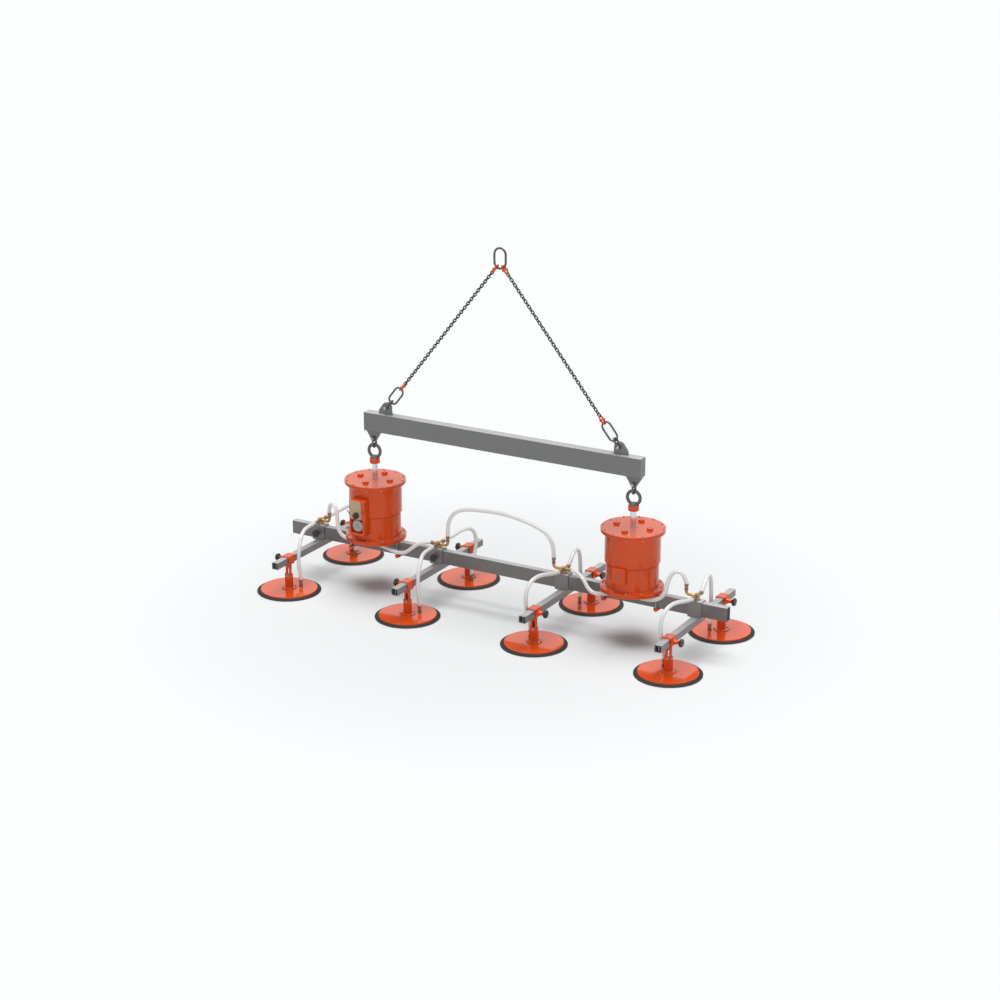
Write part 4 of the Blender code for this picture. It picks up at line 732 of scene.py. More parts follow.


# The spreader's top carries the painted highlight.
GREY = grey_paint("grey_enamel", lit_tops=(SPREADER_TOP,))
bm = bmesh.new()
near_end = (-SPREADER_HALF, -SPREADER_DEPTH, SPREADER_BOTTOM)
block(bm, near_end, (SPREADER_HALF, SPREADER_DEPTH, SPREADER_TOP), 0.0035, 4)
for side in (-1, 1):
    hole = (0.0, UPPER_LUG_RISE)
    inner, outer = UPPER_LUG_FOOT
    shoulder = (outer, UPPER_LUG_SHOULDER)
    start = tangent_angle(shoulder, hole, UPPER_LUG_ROUND, 1)
    end = tangent_angle((inner, 0.0), hole, UPPER_LUG_ROUND, -1) + 360
    outline = [(inner, -LUG_SINK), (outer, -LUG_SINK), shoulder]
    outline += arc(hole, UPPER_LUG_ROUND, start, end, 20)
    outline = [(side * x, z) for x, z in outline][::side]
    plate(bm, outline, LUG_THICKNESS, upright((side * UPPER_LUG_X, 0.0, SPREADER_TOP)), LUG_EDGE)
    hole = (0.0, -LOWER_LUG_DROP)
    start = tangent_angle((LOWER_LUG_HALF, 0.0), hole, LOWER_LUG_ROUND, -1)
    outline = [(-LOWER_LUG_HALF, LUG_SINK), (-LOWER_LUG_HALF, 0.0)]
    outline += arc(hole, LOWER_LUG_ROUND, -180 - start, start, 16)
    outline += [(LOWER_LUG_HALF, 0.0), (LOWER_LUG_HALF, LUG_SINK)]
    plate(bm, outline, LUG_THICKNESS, upright((side * CYLINDER_X, 0.0, SPREADER_BOTTOM)), LUG_EDGE)
fixed("spreader_box", bm, GREY, "spreader", "grey_paint", "spreader_beam")


def weld(bm, start, end, size=WELD_BEAD):
    """A rippled weld bead along a line."""
    start, end = Vector(start), Vector(end)
    ripples = max(6, int((end - start).length / 0.0032))
    line = [start.lerp(end, i / ripples) for i in range(ripples + 1)]
    tube(bm, line, [size * (1.0 if i % 2 else 0.86) for i in range(ripples + 1)], 8)


bm = bmesh.new()
for side in (-1, 1):
    upper_seam = (side * (UPPER_LUG_X + sum(UPPER_LUG_FOOT) / 2), SPREADER_TOP, 0.041)
    lower_seam = (side * CYLINDER_X, SPREADER_BOTTOM, 0.0485)
    for x, z, half_length in (upper_seam, lower_seam):
        for y in (-LUG_THICKNESS / 2, LUG_THICKNESS / 2):
            weld(bm, (x - half_length, y, z), (x + half_length, y, z))
fixed("spreader_welds", bm, GREY, "spreader", "grey_paint", smooth_angle=60)


# The lifting eyes and the piston rods. A drop-forged ring on a short neck sits on an orange collar
# nut; below it the hard-chromed 32 mm rod goes down through the gland to its piston.
EYE_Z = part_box("left_lifting_eye")[1].z - 0.046
EYE_RADIUS = 0.037
EYE_WIRE = 0.018
COLLAR_RADIUS = 0.029
COLLAR_TOP = EYE_Z - 0.040
COLLAR_BOTTOM = COLLAR_TOP - 0.030
ROD_RADIUS = 0.016
LID_TOP = COLLAR_BOTTOM - 0.092
PISTON_RADIUS = 0.1420
PISTON_TOP = LID_TOP - 0.012
PISTON_BOTTOM = LID_TOP - 0.040
PISTON_EDGE = 0.0015


def chrome(name):
    """Ground and polished chrome with hair-fine rings round the rod and a film of oil."""
    finish = Finish(name, metallic=1.0)
    rings = finish.noise(40.0, 2.0, stretch=(1.0, 1.0, 40.0))
    tone = finish.mix(rings, (0.62, 0.62, 0.63), (0.74, 0.74, 0.75))
    finish.set(base_color=tone, roughness=0.10 + rings * 0.10)
    return finish.material


CHROME = chrome("hard_chrome")
EYE_GREY = grey_paint("eye_grey", (0.105, 0.105, 0.104), (0.140, 0.139, 0.138))
for side, word in SIDES:
    x = side * CYLINDER_X
    bm = bmesh.new()
    ring = arc((x, EYE_Z), EYE_RADIUS, -90, 270, 40)[:-1]
    tube(bm, [(px, 0.0, pz) for px, pz in ring], EYE_WIRE / 2, 20, closed=True)
    turned(bm, [
        (0.0185, COLLAR_TOP + 0.012), (0.0215, COLLAR_TOP + 0.009), (0.0235, COLLAR_TOP + 0.004),
        (0.0245, COLLAR_TOP - 0.001),
    ], (x, 0.0, 0.0), steps=40)
    fixed(f"{word}_eye_ring", bm, EYE_GREY, f"{word}_rod", "grey_paint", f"{word}_lifting_eye")
    bm = bmesh.new()
    turned(bm, [
        (0.0272, COLLAR_TOP), (COLLAR_RADIUS, COLLAR_TOP - 0.0018), (COLLAR_RADIUS, COLLAR_BOTTOM + 0.0018),
        (0.0272, COLLAR_BOTTOM),
    ], (x, 0.0, 0.0), steps=48)
    fixed(f"{word}_eye_collar", bm, ORANGE, f"{word}_rod", "orange_paint")
    bm = bmesh.new()
    turned(bm, [
        (0.0110, COLLAR_BOTTOM + 0.002), (0.0110, COLLAR_BOTTOM - 0.003), (0.0150, COLLAR_BOTTOM - 0.003),
        (ROD_RADIUS, COLLAR_BOTTOM - 0.004), (ROD_RADIUS, PISTON_TOP),
        (PISTON_RADIUS - PISTON_EDGE, PISTON_TOP), (PISTON_RADIUS, PISTON_TOP - PISTON_EDGE),
        (PISTON_RADIUS, PISTON_BOTTOM),
    ], (x, 0.0, 0.0), steps=48)
    fixed(f"{word}_rod_chromed", bm, CHROME, f"{word}_rod", "chrome", f"{word}_piston_rod")


# The cylinders. Rolled and welded barrels with a stepped lower part, a bolting flange at the top
# and a wide base plate, sprayed orange. Tie rods clamp the base plate down on the main beam.
FLANGE_RADIUS = 0.1722
BARREL_BORE = 0.1362
UPPER_BORE = 0.1435
UPPER_RADIUS = 0.1485
LOWER_RADIUS = 0.1412
BASE_RADIUS = 0.1706
BASE_THICKNESS = 0.022
FLANGE_TOP = LID_TOP - 0.0103
FLANGE_BOTTOM = FLANGE_TOP - 0.010
STEP_Z = LID_TOP - 0.1855
BASE_BOTTOM = LID_TOP - 0.344
BOLTS = 12
BOLT_SIZE = 0.0052
LID_BOLT_CIRCLE = 0.1605
BASE_BOLT_CIRCLE = 0.1580
BOLT_TURN = 15.0
BEAM_HEIGHT = 0.078
TIE_X = 0.155
TIE_Y = 0.026
TIE_BAR = (0.026, 0.012)
TIE_BOLT_SIZE = 0.0066
PLUG_TURN = -122.4


def zinc(name):
    """Zinc-plated fastener: pale, slightly mottled and softly bright."""
    finish = Finish(name, metallic=0.9)
    cloud = finish.noise(240.0, 2.0)
    tone = finish.mix(cloud, (0.30, 0.30, 0.295), (0.46, 0.46, 0.45))
    finish.set(base_color=tone, roughness=0.26 + cloud * 0.14)
    return finish.material


def brass(name, dark, light):
    """Turned brass: warm, a little dull, with fine tool marks."""
    finish = Finish(name, metallic=0.95)
    cloud = finish.noise(90.0, 3.0)
    finish.set(base_color=finish.mix(cloud, dark, light), roughness=0.26 + cloud * 0.16)
    finish.bump(finish.noise(700.0, 2.0), 0.0001, 0.3)
    return finish.material


def hexagon(bm, place, radius, height, edge):
    """A six-sided head that stands on place, the rims of both its ends rounded."""
    verts = bmesh.ops.create_cone(
        bm, cap_ends=True, segments=6, radius1=radius, radius2=radius, depth=height,
        matrix=place @ Matrix.Translation((0.0, 0.0, height / 2)),
    )["verts"]
    edges = {e for vert in verts for e in vert.link_edges}
    softened(bm, [e for e in edges if len({len(face.verts) for face in e.link_faces}) > 1], edge)


def bolt(bm, place, size, washer=True, shank=0.0):
    """A hexagon head on its washer, standing on place and pointing along its local Z."""
    turn = place.to_quaternion() @ UP
    spot = place.translation
    if washer:
        turned(bm, [
            (size * 1.05, 0.0), (size * 1.05, size * 0.16), (size * 0.98, size * 0.22),
        ], spot, turn, 20)
    seat = place @ Matrix.Translation((0.0, 0.0, size * 0.2))
    hexagon(bm, seat, size * 0.95, size * 0.72, size * 0.10)
    if shank:
        turned(bm, [
            (size * 0.52, 0.0), (size * 0.52, shank - size * 0.1), (size * 0.42, shank),
        ], spot, turn, 14)


def round_spot(x, radius, turn, z):
    """A spot on a circle about the upright line at x, its turn in degrees."""
    return Vector((x + radius * math.cos(math.radians(turn)), radius * math.sin(math.radians(turn)), z))


ZINC = zinc("zinc_plate")
BRASS = brass("turned_brass", (0.42, 0.24, 0.08), (0.54, 0.33, 0.12))
AGED_BRASS = brass("aged_brass", (0.25, 0.17, 0.11), (0.34, 0.24, 0.16))
for side, word in SIDES:
    x = side * CYLINDER_X
    bm = bmesh.new()
    fillet = 0.0022
    base = BASE_BOTTOM + BASE_THICKNESS
    turned(bm, [
        (BARREL_BORE, base), (BARREL_BORE, STEP_Z), (UPPER_BORE, STEP_Z + 0.005), (UPPER_BORE, FLANGE_TOP),
        (FLANGE_RADIUS - 0.001, FLANGE_TOP), (FLANGE_RADIUS, FLANGE_TOP - 0.001),
        (FLANGE_RADIUS, FLANGE_BOTTOM + 0.001), (FLANGE_RADIUS - 0.001, FLANGE_BOTTOM),
        (UPPER_RADIUS + 2 * fillet, FLANGE_BOTTOM), (UPPER_RADIUS + fillet, FLANGE_BOTTOM - 0.0006),
        (UPPER_RADIUS, FLANGE_BOTTOM - 2 * fillet), (UPPER_RADIUS, STEP_Z + 0.0008),
        (UPPER_RADIUS - 0.0008, STEP_Z), (LOWER_RADIUS - 0.0030, STEP_Z),
        (LOWER_RADIUS - 0.0030, STEP_Z - 0.0065), (LOWER_RADIUS, STEP_Z - 0.0075),
        (LOWER_RADIUS, base + 2 * fillet), (LOWER_RADIUS + fillet, base + 0.5 * fillet),
        (LOWER_RADIUS + 2 * fillet, base), (BASE_RADIUS - 0.001, base), (BASE_RADIUS, base - 0.001),
        (BASE_RADIUS, base - 0.0100), (BASE_RADIUS - 0.0012, base - 0.0106),
        (BASE_RADIUS - 0.0012, base - 0.0114), (BASE_RADIUS, base - 0.0120),
        (BASE_RADIUS, BASE_BOTTOM + 0.001), (BASE_RADIUS - 0.001, BASE_BOTTOM), (0.0, BASE_BOTTOM),
        (0.0, base),
    ], (x, 0.0, 0.0), steps=96, closed=True)
    fixed(f"{word}_barrel", bm, ORANGE, "frame", "orange_paint", f"{word}_cylinder", smooth_angle=40)

    bm = bmesh.new()
    bar_top = BEAM_TOP - BEAM_HEIGHT - 0.0003
    for offset in (-TIE_X, TIE_X):
        half = TIE_BAR[0] / 2
        outline = arc((0, TIE_Y), half, 0, 180, 12) + arc((0, -TIE_Y), half, 180, 360, 12)
        place = Matrix.Translation((x + offset, 0.0, bar_top - TIE_BAR[1] / 2))
        plate(bm, outline, TIE_BAR[1], place, 0.0010)
    fixed(f"{word}_tie_bars", bm, ORANGE, "frame", "orange_paint")
    bm = bmesh.new()
    for offset in (-TIE_X, TIE_X):
        for y in (-TIE_Y, TIE_Y):
            foot = bar_top - TIE_BAR[1] - 0.0058
            turned(bm, [
                (0.0032, foot), (0.0040, foot + 0.0008), (0.0040, BASE_BOTTOM + 0.0005),
            ], (x + offset, y, 0.0), steps=16)
            for height, way in ((bar_top - TIE_BAR[1], DOWN), (BASE_BOTTOM, DOWN), (base, UP)):
                bolt(bm, standing((x + offset, y, height), way), TIE_BOLT_SIZE)
    fixed(f"{word}_tie_rods", bm, ZINC, "frame", "chrome")

    bm = bmesh.new()
    for k in range(BOLTS):
        turn = BOLT_TURN + 360.0 / BOLTS * k
        bolt(bm, standing(round_spot(x, LID_BOLT_CIRCLE, turn, LID_TOP), UP), BOLT_SIZE)
        under = round_spot(x, LID_BOLT_CIRCLE, turn, FLANGE_BOTTOM)
        bolt(bm, standing(under, DOWN), BOLT_SIZE, shank=0.0095)
        bolt(bm, standing(round_spot(x, BASE_BOLT_CIRCLE, turn, base), UP), BOLT_SIZE, shank=0.0075)
    fixed(f"{word}_flange_bolts", bm, ZINC, "frame", "chrome")

# The lids. Flat orange discs, bolted down with a thin gasket, with a wiper ring round the rod and
# four round bosses, each with a recessed screw.
BOSS_RADIUS = 0.0175
BOSS_CIRCLE = 0.0975
BOSS_HEIGHT = 0.012
for side, word in SIDES:
    x = side * CYLINDER_X
    bm = bmesh.new()
    turned(bm, [
        (0.0170, LID_TOP + 0.0008), (0.0215, LID_TOP + 0.0008), (0.0225, LID_TOP),
        (FLANGE_RADIUS - 0.0012, LID_TOP), (FLANGE_RADIUS, LID_TOP - 0.0012),
        (FLANGE_RADIUS, LID_TOP - 0.0088), (FLANGE_RADIUS - 0.0010, LID_TOP - 0.0098),
        (0.0170, LID_TOP - 0.0098),
    ], (x, 0.0, 0.0), steps=96, closed=True)
    for k in range(4):
        spot = round_spot(x, BOSS_CIRCLE, 90.0 * k, LID_TOP)
        turned(bm, [
            (BOSS_RADIUS + 0.0012, -0.001), (BOSS_RADIUS + 0.0012, 0.0003), (BOSS_RADIUS, 0.0018),
            (BOSS_RADIUS, BOSS_HEIGHT - 0.0012), (BOSS_RADIUS - 0.0012, BOSS_HEIGHT), (0.0062, BOSS_HEIGHT),
            (0.0062, BOSS_HEIGHT - 0.0035),
        ], spot, steps=36)
    fixed(f"{word}_lid", bm, ORANGE, "frame", "orange_paint", f"{word}_cylinder_lid", smooth_angle=40)
    bm = bmesh.new()
    for k in range(4):
        spot = round_spot(x, BOSS_CIRCLE, 90.0 * k, LID_TOP + BOSS_HEIGHT - 0.0034)
        turned(bm, [
            (0.0058, 0.0), (0.0058, 0.0024), (0.0052, 0.0030), (0.0030, 0.0030), (0.0030, 0.0014),
        ], spot, steps=24)
    turned(bm, [
        (0.0162, LID_TOP + 0.0004), (0.0168, LID_TOP + 0.0018), (0.0178, LID_TOP + 0.0018),
        (0.0184, LID_TOP + 0.0006),
    ], (x, 0.0, 0.0), steps=40, closed=True)
    fixed(f"{word}_lid_screws", bm, PIN_STEEL, "frame", "chrome")


# The service port of the right cylinder. A square cover is welded over the barrel's foot, its
# back shaped to the barrel, and a brass plug closes it. A second plug sits on the bare barrel.
COVER_Z = LID_TOP - 0.2253
COVER_HALF = (0.0385, 0.0435)
COVER_FRONT = -(LOWER_RADIUS + 0.021)
COVER_BACK = -0.128
bm = bmesh.new()
across, up = COVER_HALF
low = (CYLINDER_X - across, COVER_FRONT, COVER_Z - up)
block(bm, low, (CYLINDER_X + across, COVER_BACK, COVER_Z + up), 0.0016, 3)
fixed("port_cover", bm, ORANGE, "frame", "orange_paint")
bm = bmesh.new()
for spot, way in (
    (Vector((CYLINDER_X, COVER_FRONT, COVER_Z)), FRONT),
    (round_spot(CYLINDER_X, LOWER_RADIUS - 0.0008, PLUG_TURN, COVER_Z), round_spot(0.0, 1.0, PLUG_TURN, 0.0)),
):
    turned(bm, [
        (0.0100, 0.0), (0.0100, 0.0020), (0.0092, 0.0028), (0.0085, 0.0028), (0.0080, 0.0040),
        (0.0050, 0.0042), (0.0044, 0.0026),
    ], spot, way, 32)
fixed("port_plugs", bm, AGED_BRASS, "frame", "chrome")


# The control box on the left cylinder. A folded orange housing with a beige legend plate, the
# selector knob on the plate, the release lever on its left and the gauge in a recess below.
BOX_X = -CYLINDER_X
BOX_HALF = 0.049
BOX_FRONT = -0.195
BOX_TOP = LID_TOP - 0.0735
BOX_BOTTOM = BOX_TOP - 0.208
GAUGE_Z = LID_TOP - 0.225
POCKET_HALF = (0.038, 0.039)
POCKET_DEPTH = 0.026
PLATE_LOW = (-0.0405, LID_TOP - 0.1840)
PLATE_HIGH = (0.0290, LID_TOP - 0.0770)

bm = bmesh.new()
block(bm, (BOX_X - BOX_HALF, BOX_FRONT, BOX_BOTTOM), (BOX_X + BOX_HALF, -0.130, BOX_TOP), 0.0040, 4)
for across, up, way in (
    (0.0, 0.0, RIGHT),
    (-POCKET_HALF[0], 0.0, RIGHT), (POCKET_HALF[0], 0.0, RIGHT),
    (0.0, -POCKET_HALF[1], UP), (0.0, POCKET_HALF[1], UP),
):
    everything = bm.verts[:] + bm.edges[:] + bm.faces[:]
    bmesh.ops.bisect_plane(
        bm, geom=everything, dist=1e-7, plane_co=(BOX_X + across, BOX_FRONT, GAUGE_Z + up), plane_no=way
    )
for vert in [vert for vert in bm.verts if vert.co.y > -0.160]:
    seat = LOWER_RADIUS - 0.0022 if vert.co.z < STEP_Z else UPPER_RADIUS - 0.0010
    vert.co.y = -math.sqrt(seat**2 - (vert.co.x - BOX_X) ** 2)
mouth = [
    face for face in bm.faces
    if face.normal.y < -0.9 and abs(face.calc_center_median().x - BOX_X) < POCKET_HALF[0]
    and abs(face.calc_center_median().z - GAUGE_Z) < POCKET_HALF[1]
]
pocket = bmesh.ops.extrude_face_region(bm, geom=mouth)["geom"]
bmesh.ops.delete(bm, geom=mouth, context="FACES_ONLY")
sunk = [part for part in pocket if isinstance(part, bmesh.types.BMVert)]
bmesh.ops.translate(bm, verts=sunk, vec=BACK * POCKET_DEPTH)
fixed("control_housing", bm, ORANGE, "frame", "orange_paint", "control_box")


def beige_plate(name):
    """Satin anodised legend plate, pale beige, faintly brushed across."""
    finish = Finish(name, metallic=0.15)
    brush = finish.noise(60.0, 3.0, stretch=(1.0, 1.0, 30.0))
    tone = finish.mix(brush, (0.44, 0.33, 0.20), (0.54, 0.42, 0.27))
    finish.set(base_color=tone, roughness=0.42 + brush * 0.12)
    finish.bump(brush, 0.0001, 0.2)
    return finish.material


bm = bmesh.new()
(x_low, z_low), (x_high, z_high) = PLATE_LOW, PLATE_HIGH
corner = 0.014
rounding = arc((x_high - corner, z_high - corner), corner, 0, 90, 10)
outline = [(x_low, z_low), (x_high, z_low), *rounding, (x_low, z_high)]
plate(bm, outline, 0.0016, upright((BOX_X, BOX_FRONT - 0.0006, 0.0)), 0.0003)
fixed("legend_plate", bm, beige_plate("beige_plate"), "frame", "gauge_white")
bm = bmesh.new()
for across, z in (
    (x_low + 0.004, z_low + 0.004), (x_low + 0.004, z_high - 0.004),
    (x_high - 0.004, z_low + 0.004), (x_high - 0.006, z_high - 0.006),
):
    turned(bm, [
        (0.0020, 0.0), (0.0018, 0.0008), (0.0010, 0.0012), (0.0, 0.0013),
    ], (BOX_X + across, BOX_FRONT - 0.0012, z), FRONT, 14)
fixed("plate_rivets", bm, ZINC, "frame", "chrome")
bm = bmesh.new()
turned(bm, [
    (0.0042, 0.0), (0.0042, 0.0030), (0.0034, 0.0038),
], (BOX_X + 0.0425, BOX_FRONT, LID_TOP - 0.134), FRONT, 18)
fixed("box_lock_pin", bm, CHAIN_STEEL, "frame", "chain_steel")


# The vacuum gauge. A steel case with a rolled bezel, a white dial behind glass and a black needle
# on its own spindle. It shows at a glance that the cups have drawn up.
GAUGE_FRONT = BOX_FRONT + POCKET_DEPTH - 0.0183
DIAL_Y = GAUGE_FRONT + 0.004
GAUGE_RADIUS = 0.034
DIAL_TICKS = 50
DIAL_SWEEP = (225.0, -45.0)
TICK_END = 0.0282
TICK_SIZES = {10: (0.0046, 0.0007), 5: (0.0034, 0.0005), 1: (0.0022, 0.0003)}
NUMBER_CIRCLE = 0.0192


def plain_finish(name, dark, light, rough, scale=30.0, **settings):
    """An even tone with slight clouding, for moulded and coated parts."""
    finish = Finish(name, **settings)
    cloud = finish.noise(scale, 3.0)
    finish.set(base_color=finish.mix(cloud, dark, light), roughness=rough + cloud * 0.12)
    finish.bump(finish.noise(scale * 20, 2.0), 0.0002, 0.25)
    return finish.material


BLACK_PLASTIC = plain_finish("black_plastic", (0.010, 0.010, 0.011), (0.022, 0.022, 0.024), 0.36)
DIAL_WHITE = plain_finish("dial_white", (0.40, 0.40, 0.40), (0.47, 0.47, 0.47), 0.40)
DIAL_BLACK = plain_finish("dial_black", (0.012, 0.012, 0.012), (0.02, 0.02, 0.02), 0.45)
BEZEL_STEEL = forged_steel("bezel_steel", (0.34, 0.34, 0.33), (0.46, 0.46, 0.45), 0.24, 0.9)
GLASS = plain_finish("gauge_glass", (0.80, 0.84, 0.85), (0.84, 0.87, 0.88), 0.02, alpha=0.07, coat_weight=0.6)

bm = bmesh.new()
turned(bm, [
    (0.0315, 0.0), (0.0315, -0.0136), (0.0332, -0.0140), (GAUGE_RADIUS, -0.0148),
    (GAUGE_RADIUS, -0.0166), (0.0333, -0.0178), (0.0322, -0.0180), (0.0308, -0.0172), (0.0305, -0.0141),
], (BOX_X, GAUGE_FRONT + 0.018, GAUGE_Z), BACK, 64)
fixed("gauge_case", bm, BEZEL_STEEL, "frame", "gauge_white", "vacuum_gauge")
bm = bmesh.new()
turned(bm, [(0.0304, 0.0), (0.0304, -0.0003)], (BOX_X, DIAL_Y, GAUGE_Z), BACK, 64)
fixed("gauge_dial", bm, DIAL_WHITE, "frame", "gauge_white")
bm = bmesh.new()
for tick in range(DIAL_TICKS + 1):
    turn = math.radians(DIAL_SWEEP[0] + (DIAL_SWEEP[1] - DIAL_SWEEP[0]) * tick / DIAL_TICKS)
    length, width = next(size for step, size in TICK_SIZES.items() if tick % step == 0)
    place = Matrix.Translation((BOX_X, DIAL_Y - 0.00035, GAUGE_Z)) @ Matrix.Rotation(-turn, 4, "Y")
    stretch = Matrix.Diagonal((length, 0.0002, width, 1.0))
    place = place @ Matrix.Translation((TICK_END - length / 2, 0.0, 0.0)) @ stretch
    bmesh.ops.create_cube(bm, size=1.0, matrix=place)
for number in range(0, 101, 20):
    turn = math.radians(DIAL_SWEEP[0] + (DIAL_SWEEP[1] - DIAL_SWEEP[0]) * number / 100)
    words = bpy.data.curves.new("dial_number", "FONT")
    words.body = str(number)
    words.size = 0.0052
    words.align_x, words.align_y = "CENTER", "CENTER"
    carrier = bpy.data.objects.new("dial_number", words)
    flat = carrier.to_mesh()
    across, up = NUMBER_CIRCLE * math.cos(turn), NUMBER_CIRCLE * math.sin(turn)
    spot = (BOX_X + across, DIAL_Y - 0.0005, GAUGE_Z + up)
    flat.transform(Matrix.Translation(spot) @ Matrix.Rotation(math.radians(90.0), 4, "X"))
    bm.from_mesh(flat)
    bpy.data.objects.remove(carrier)
fixed("gauge_print", bm, DIAL_BLACK, "frame", "gauge_white")
bm = bmesh.new()
turned(bm, [
    (0.0306, 0.0), (0.0306, -0.0008), (0.0, -0.0010),
], (BOX_X, GAUGE_FRONT + 0.0018, GAUGE_Z), BACK, 48)
fixed("gauge_glass", bm, GLASS, "frame", "gauge_white")

bm = bmesh.new()
lean = Matrix.Rotation(math.radians(45.0), 4, "Y")
place = Matrix.Translation((BOX_X, DIAL_Y - 0.0013, GAUGE_Z)) @ lean @ upright((0, 0, 0))
edge = [(-0.011, -0.0026), (0.004, -0.0017), (0.025, -0.0006)]
plate(bm, edge + [(along, -across) for along, across in reversed(edge)], 0.0006, place)
turned(bm, [
    (0.0040, 0.0), (0.0040, -0.0012), (0.0030, -0.0018), (0.0, -0.0019),
], (BOX_X, DIAL_Y - 0.0004, GAUGE_Z), BACK, 24)
fixed("needle_blade", bm, DIAL_BLACK, "needle", "black_plastic", "gauge_needle")


# The selector and the release lever. Black moulded knob with a fluted rim and a grip bar that
# carries a pale mark, and a bent steel lever with a round tip on the side of the box.
SELECTOR_Z = LID_TOP - 0.161
SELECTOR_Y = BOX_FRONT - 0.0022


def star(radius, lobes, depth, steps=8):
    """The rim of a knob: a circle that dips in between its lobes."""
    count = lobes * steps
    turns = [2 * math.pi * i / count for i in range(count)]
    sizes = [radius - depth * (0.5 - 0.5 * math.cos(lobes * turn)) for turn in turns]
    return [(size * math.cos(turn), size * math.sin(turn)) for size, turn in zip(sizes, turns)]


bm = bmesh.new()
turned(bm, [
    (0.0176, 0.0), (0.0180, -0.0008), (0.0180, -0.0040), (0.0172, -0.0050),
], (BOX_X, SELECTOR_Y, SELECTOR_Z), BACK, 48)
plate(bm, star(0.0170, 20, 0.0012, 6), 0.0115, upright((BOX_X, SELECTOR_Y - 0.0097, SELECTOR_Z)), 0.0008)
low = (BOX_X - 0.0036, SELECTOR_Y - 0.0186, SELECTOR_Z - 0.0144)
block(bm, low, (BOX_X + 0.0036, SELECTOR_Y - 0.012, SELECTOR_Z + 0.0144), 0.0014, 3)
fixed("selector_grip", bm, BLACK_PLASTIC, "selector", "black_plastic", "selector_knob")
bm = bmesh.new()
low = (BOX_X - 0.0005, SELECTOR_Y - 0.0188, SELECTOR_Z + 0.004)
block(bm, low, (BOX_X + 0.0005, SELECTOR_Y - 0.0180, SELECTOR_Z + 0.0130))
fixed("selector_mark", bm, DIAL_WHITE, "selector", "gauge_white")

bm = bmesh.new()
hub = Vector((BOX_X - BOX_HALF - 0.0003, BOX_FRONT + 0.016, LID_TOP - 0.165))
turned(bm, [(0.0070, 0.0), (0.0070, 0.0058), (0.0058, 0.0070)], hub, LEFT, 28)
tip = hub + Vector((-0.0182, -0.0112, 0.0224))
bend = hub.lerp(tip, 0.35) + Vector((-0.0014, 0.0, -0.0008))
route = smooth_line([hub + LEFT * 0.0035, bend, hub.lerp(tip, 0.7), tip], 0.003)
tube(bm, route, [0.0023] * (len(route) - 2) + [0.0029, 0.0016], 12)
fixed("lever_rod", bm, BLACK_PLASTIC, "lever", "black_plastic", "release_lever")


# The main beam. Rectangular steel section, open and sawn square at both ends, with a cross pin at
# each end that keeps the arms from sliding off. Grey enamel, with a painted highlight along its top.
BEAM_HALF = 1.3645
BEAM_SIDE = 0.020
BEAM_BOTTOM = BEAM_TOP - BEAM_HEIGHT
STOP_INSET = 0.012


def rounded(low, high, radius, steps=4):
    """A rectangle between two corners with round corners, as an outline."""
    (x0, y0), (x1, y1) = low, high
    corners = ((x0, y0, 1, 1, 180), (x1, y0, -1, 1, 270), (x1, y1, -1, -1, 0), (x0, y1, 1, -1, 90))
    points = []
    for x, y, inward_x, inward_y, start in corners:
        centre = (x + inward_x * radius, y + inward_y * radius)
        points += arc(centre, radius, start, start + 90, steps)
    return points


def hollow(bm, outer, inner, thickness, place):
    """An outline with a hole through it, thickened evenly to both sides."""
    loops = []
    for outline, height in ((outer, -0.5), (inner, -0.5), (inner, 0.5), (outer, 0.5)):
        verts = [bm.verts.new(place @ Vector((x, y, height * thickness))) for x, y in outline]
        loops.append([bm.edges.new(pair) for pair in zip(verts, verts[1:] + verts[:1])])
    for first, second in zip(loops, loops[1:] + loops[:1]):
        bmesh.ops.bridge_loops(bm, edges=first + second)


def pin(bm, centre, way, reach, radius=0.0030):
    """A short round pin with slightly domed ends."""
    turned(bm, [
        (radius * 0.7, -reach), (radius, -reach + 0.0005), (radius, reach - 0.0005), (radius * 0.7, reach),
    ], centre, way, 16)


# The beam's top carries the painted highlight.
BEAM_GREY = grey_paint("beam_grey", (0.150, 0.145, 0.142), (0.190, 0.184, 0.180), 1.2, lit_tops=(BEAM_TOP,))
bm = bmesh.new()
outer = rounded((-BEAM_SIDE, BEAM_BOTTOM), (BEAM_SIDE, BEAM_TOP), 0.0045)
inner = rounded((-BEAM_SIDE + 0.004, BEAM_BOTTOM + 0.004), (BEAM_SIDE - 0.004, BEAM_TOP - 0.004), 0.0015)
hollow(bm, outer, inner, 2 * BEAM_HALF, sideways((0.0, 0.0, 0.0)))
fixed("beam_section", bm, BEAM_GREY, "frame", "grey_paint", "main_beam")
bm = bmesh.new()
for x in (-BEAM_HALF + STOP_INSET, BEAM_HALF - STOP_INSET):
    pin(bm, (x, 0.0, (BEAM_TOP + BEAM_BOTTOM) / 2), BACK, BEAM_SIDE + 0.0015)
fixed("beam_pins", bm, PIN_STEEL, "frame", "grey_paint")


# The cross arms. A welded sleeve slides on the main beam and is clamped by a star knob; below it
# a square tube is welded across, open at both ends, each end with its own stop pin.
SLEEVE_HALF = 0.0265
SLEEVE_TOP = BEAM_TOP + 0.0065
SLEEVE_BOTTOM = BEAM_BOTTOM - 0.009
SLEEVE_LENGTH = 0.080
SLIDE_PLAY = 0.0015
SADDLE_HEIGHT = 0.003
SADDLE_HALF = 0.017
ARM_TOP = SLEEVE_BOTTOM + 0.0015
ARM_BOTTOM = ARM_TOP - 0.040
ARM_REACH = 0.4553
ARM_SIDE = 0.020
ARM_BOSS = 0.012
KNOB_RADIUS = 0.0215
KNOB_LENGTH = 0.021
KNOB_NECK = 0.006
KNOB_DIP = 0.0022


